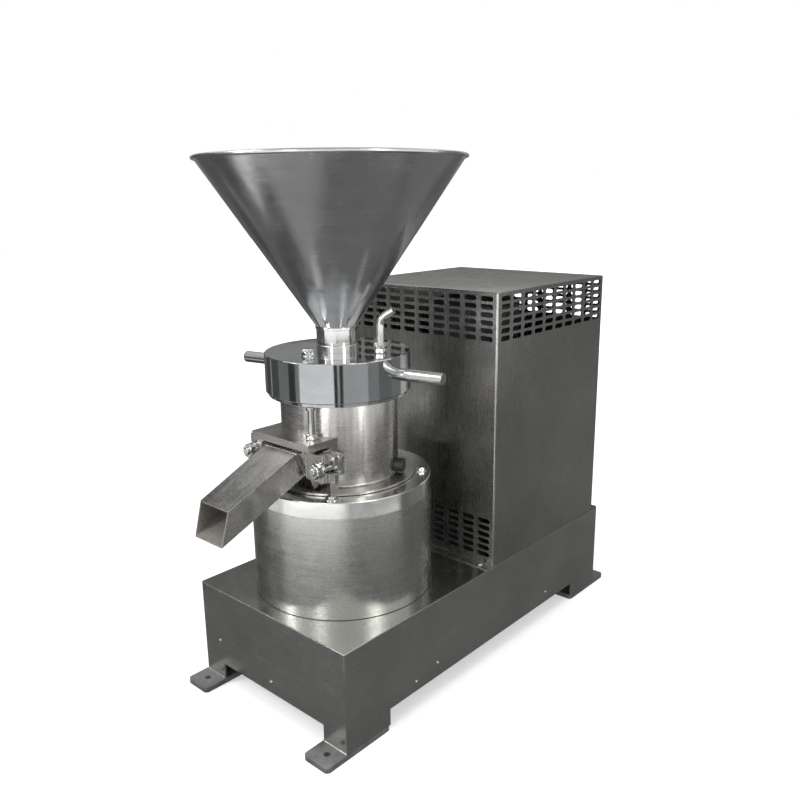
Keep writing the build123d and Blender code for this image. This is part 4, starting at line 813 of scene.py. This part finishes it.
def wall_card(name, start, end, strength, low, high):
    """A curved wall from start to end degrees."""
    bm = bmesh.new()
    rows = [[bm.verts.new(point) for point in arc(mill, tent_radius, z, view_angle + start, view_angle + end)]
            for z in (low, high)]
    for i in range(len(rows[0]) - 1):
        bm.faces.new((rows[0][i], rows[0][i + 1], rows[1][i + 1], rows[1][i]))
    only_reflected("wall_" + name, bm, strength)


def ground_card(name, start, end, strength, lift=0.0005):
    """A wedge of floor from start to end degrees."""
    bm = bmesh.new()
    rim = [bm.verts.new(point)
           for point in arc(mill, tent_radius, lift, view_angle + start, view_angle + end)]
    middle = bm.verts.new((*mill, lift))
    for first, second in zip(rim, rim[1:]):
        bm.faces.new((middle, first, second))
    only_reflected("ground_" + name, bm, strength)


def near_ground(strength, margin=0.3, lift=0.0008):
    """The floor close round the base."""
    bm = bmesh.new()
    corners = ((base_low.x - margin, base_low.y - margin), (base_high.x + margin, base_low.y - margin),
               (base_high.x + margin, base_high.y + margin), (base_low.x - margin, base_high.y + margin))
    bm.faces.new([bm.verts.new((x, y, lift)) for x, y in corners])
    only_reflected("card_near_ground", bm, strength)


def ceiling_card(strength, radius=0.9, height=2.1):
    """A round card over the mill."""
    bm = bmesh.new()
    bm.faces.new([bm.verts.new(point) for point in arc(mill, radius, height, 0, 350, 10)])
    only_reflected("ceiling", bm, strength)


# What the polished ring mirrors at its own height, from left to right

ring_band = (0.26, 0.5)
ring_strips = (
    (-134, -118, 0.06), (-118, -115, 0.4), (-115, -95, 0.08), (-95, -73, 0.2), (-73, -61, 0.04),
    (-61, -54, 0.25), (-54, -2, 0.92), (-2, 3, 0.04), (3, 6, 0.4), (6, 11, 0.05), (11, 48, 0.44),
    (48, 66, 0.24), (66, 92, 0.15),
)
for number, (start, end, strength) in enumerate(ring_strips):
    wall_card(f"ring_{number}", start, end, strength, *ring_band)

skirting_top = 0.075
rear_dim_top, rear_mid_top = 0.82, 1.1
wall_cards = [
    ("left_low", -134, -94, 0.14, 0.0, ring_band[0]), ("slot_low", -94, -68, 0.9, 0.0, ring_band[0]),
    ("left_high", -134, -68, 0.1, ring_band[1], tent_top), ("skirting", 9, 75, 1.0, 0.0, skirting_top),
    ("front_right_low", 9, 75, 0.18, skirting_top, ring_band[0]),
    ("right_low", 75, 92, 0.14, 0.0, ring_band[0]), ("far_right", 92, 130, 0.19, 0.0, tent_top),
]
for name, start, end in (("rear_right", 130, 180), ("rear_left", -180, -134)):
    wall_cards += [(name + "_low", start, end, 0.12, 0.0, rear_dim_top),
                   (name + "_mid", start, end, 0.27, rear_dim_top, rear_mid_top),
                   (name + "_high", start, end, 0.6, rear_mid_top, tent_top)]
for card in wall_cards:
    wall_card(*card)

ground_cards = (("left", -134, -68, 0.07), ("window", -68, -4, 0.3), ("front_right", -4, 75, 0.15),
                ("right", 75, 130, 0.14), ("rear", 130, 226, 0.16))
for card in ground_cards:
    ground_card(*card)
near_ground(0.14)
ceiling_card(0.4)


# World

world_fill, world_white = 0.55, 1.0
world = bpy.data.worlds.new("studio")
bpy.context.scene.world = world
world.use_nodes = True
sky = Nodes(world.node_tree)
sky.feed(world.node_tree.nodes["Background"], Color=(1, 1, 1, 1),
         Strength=sky.remap(sky.seen(), 0, 1, world_fill, world_white))

bpy.context.scene.view_settings.view_transform = "Standard"
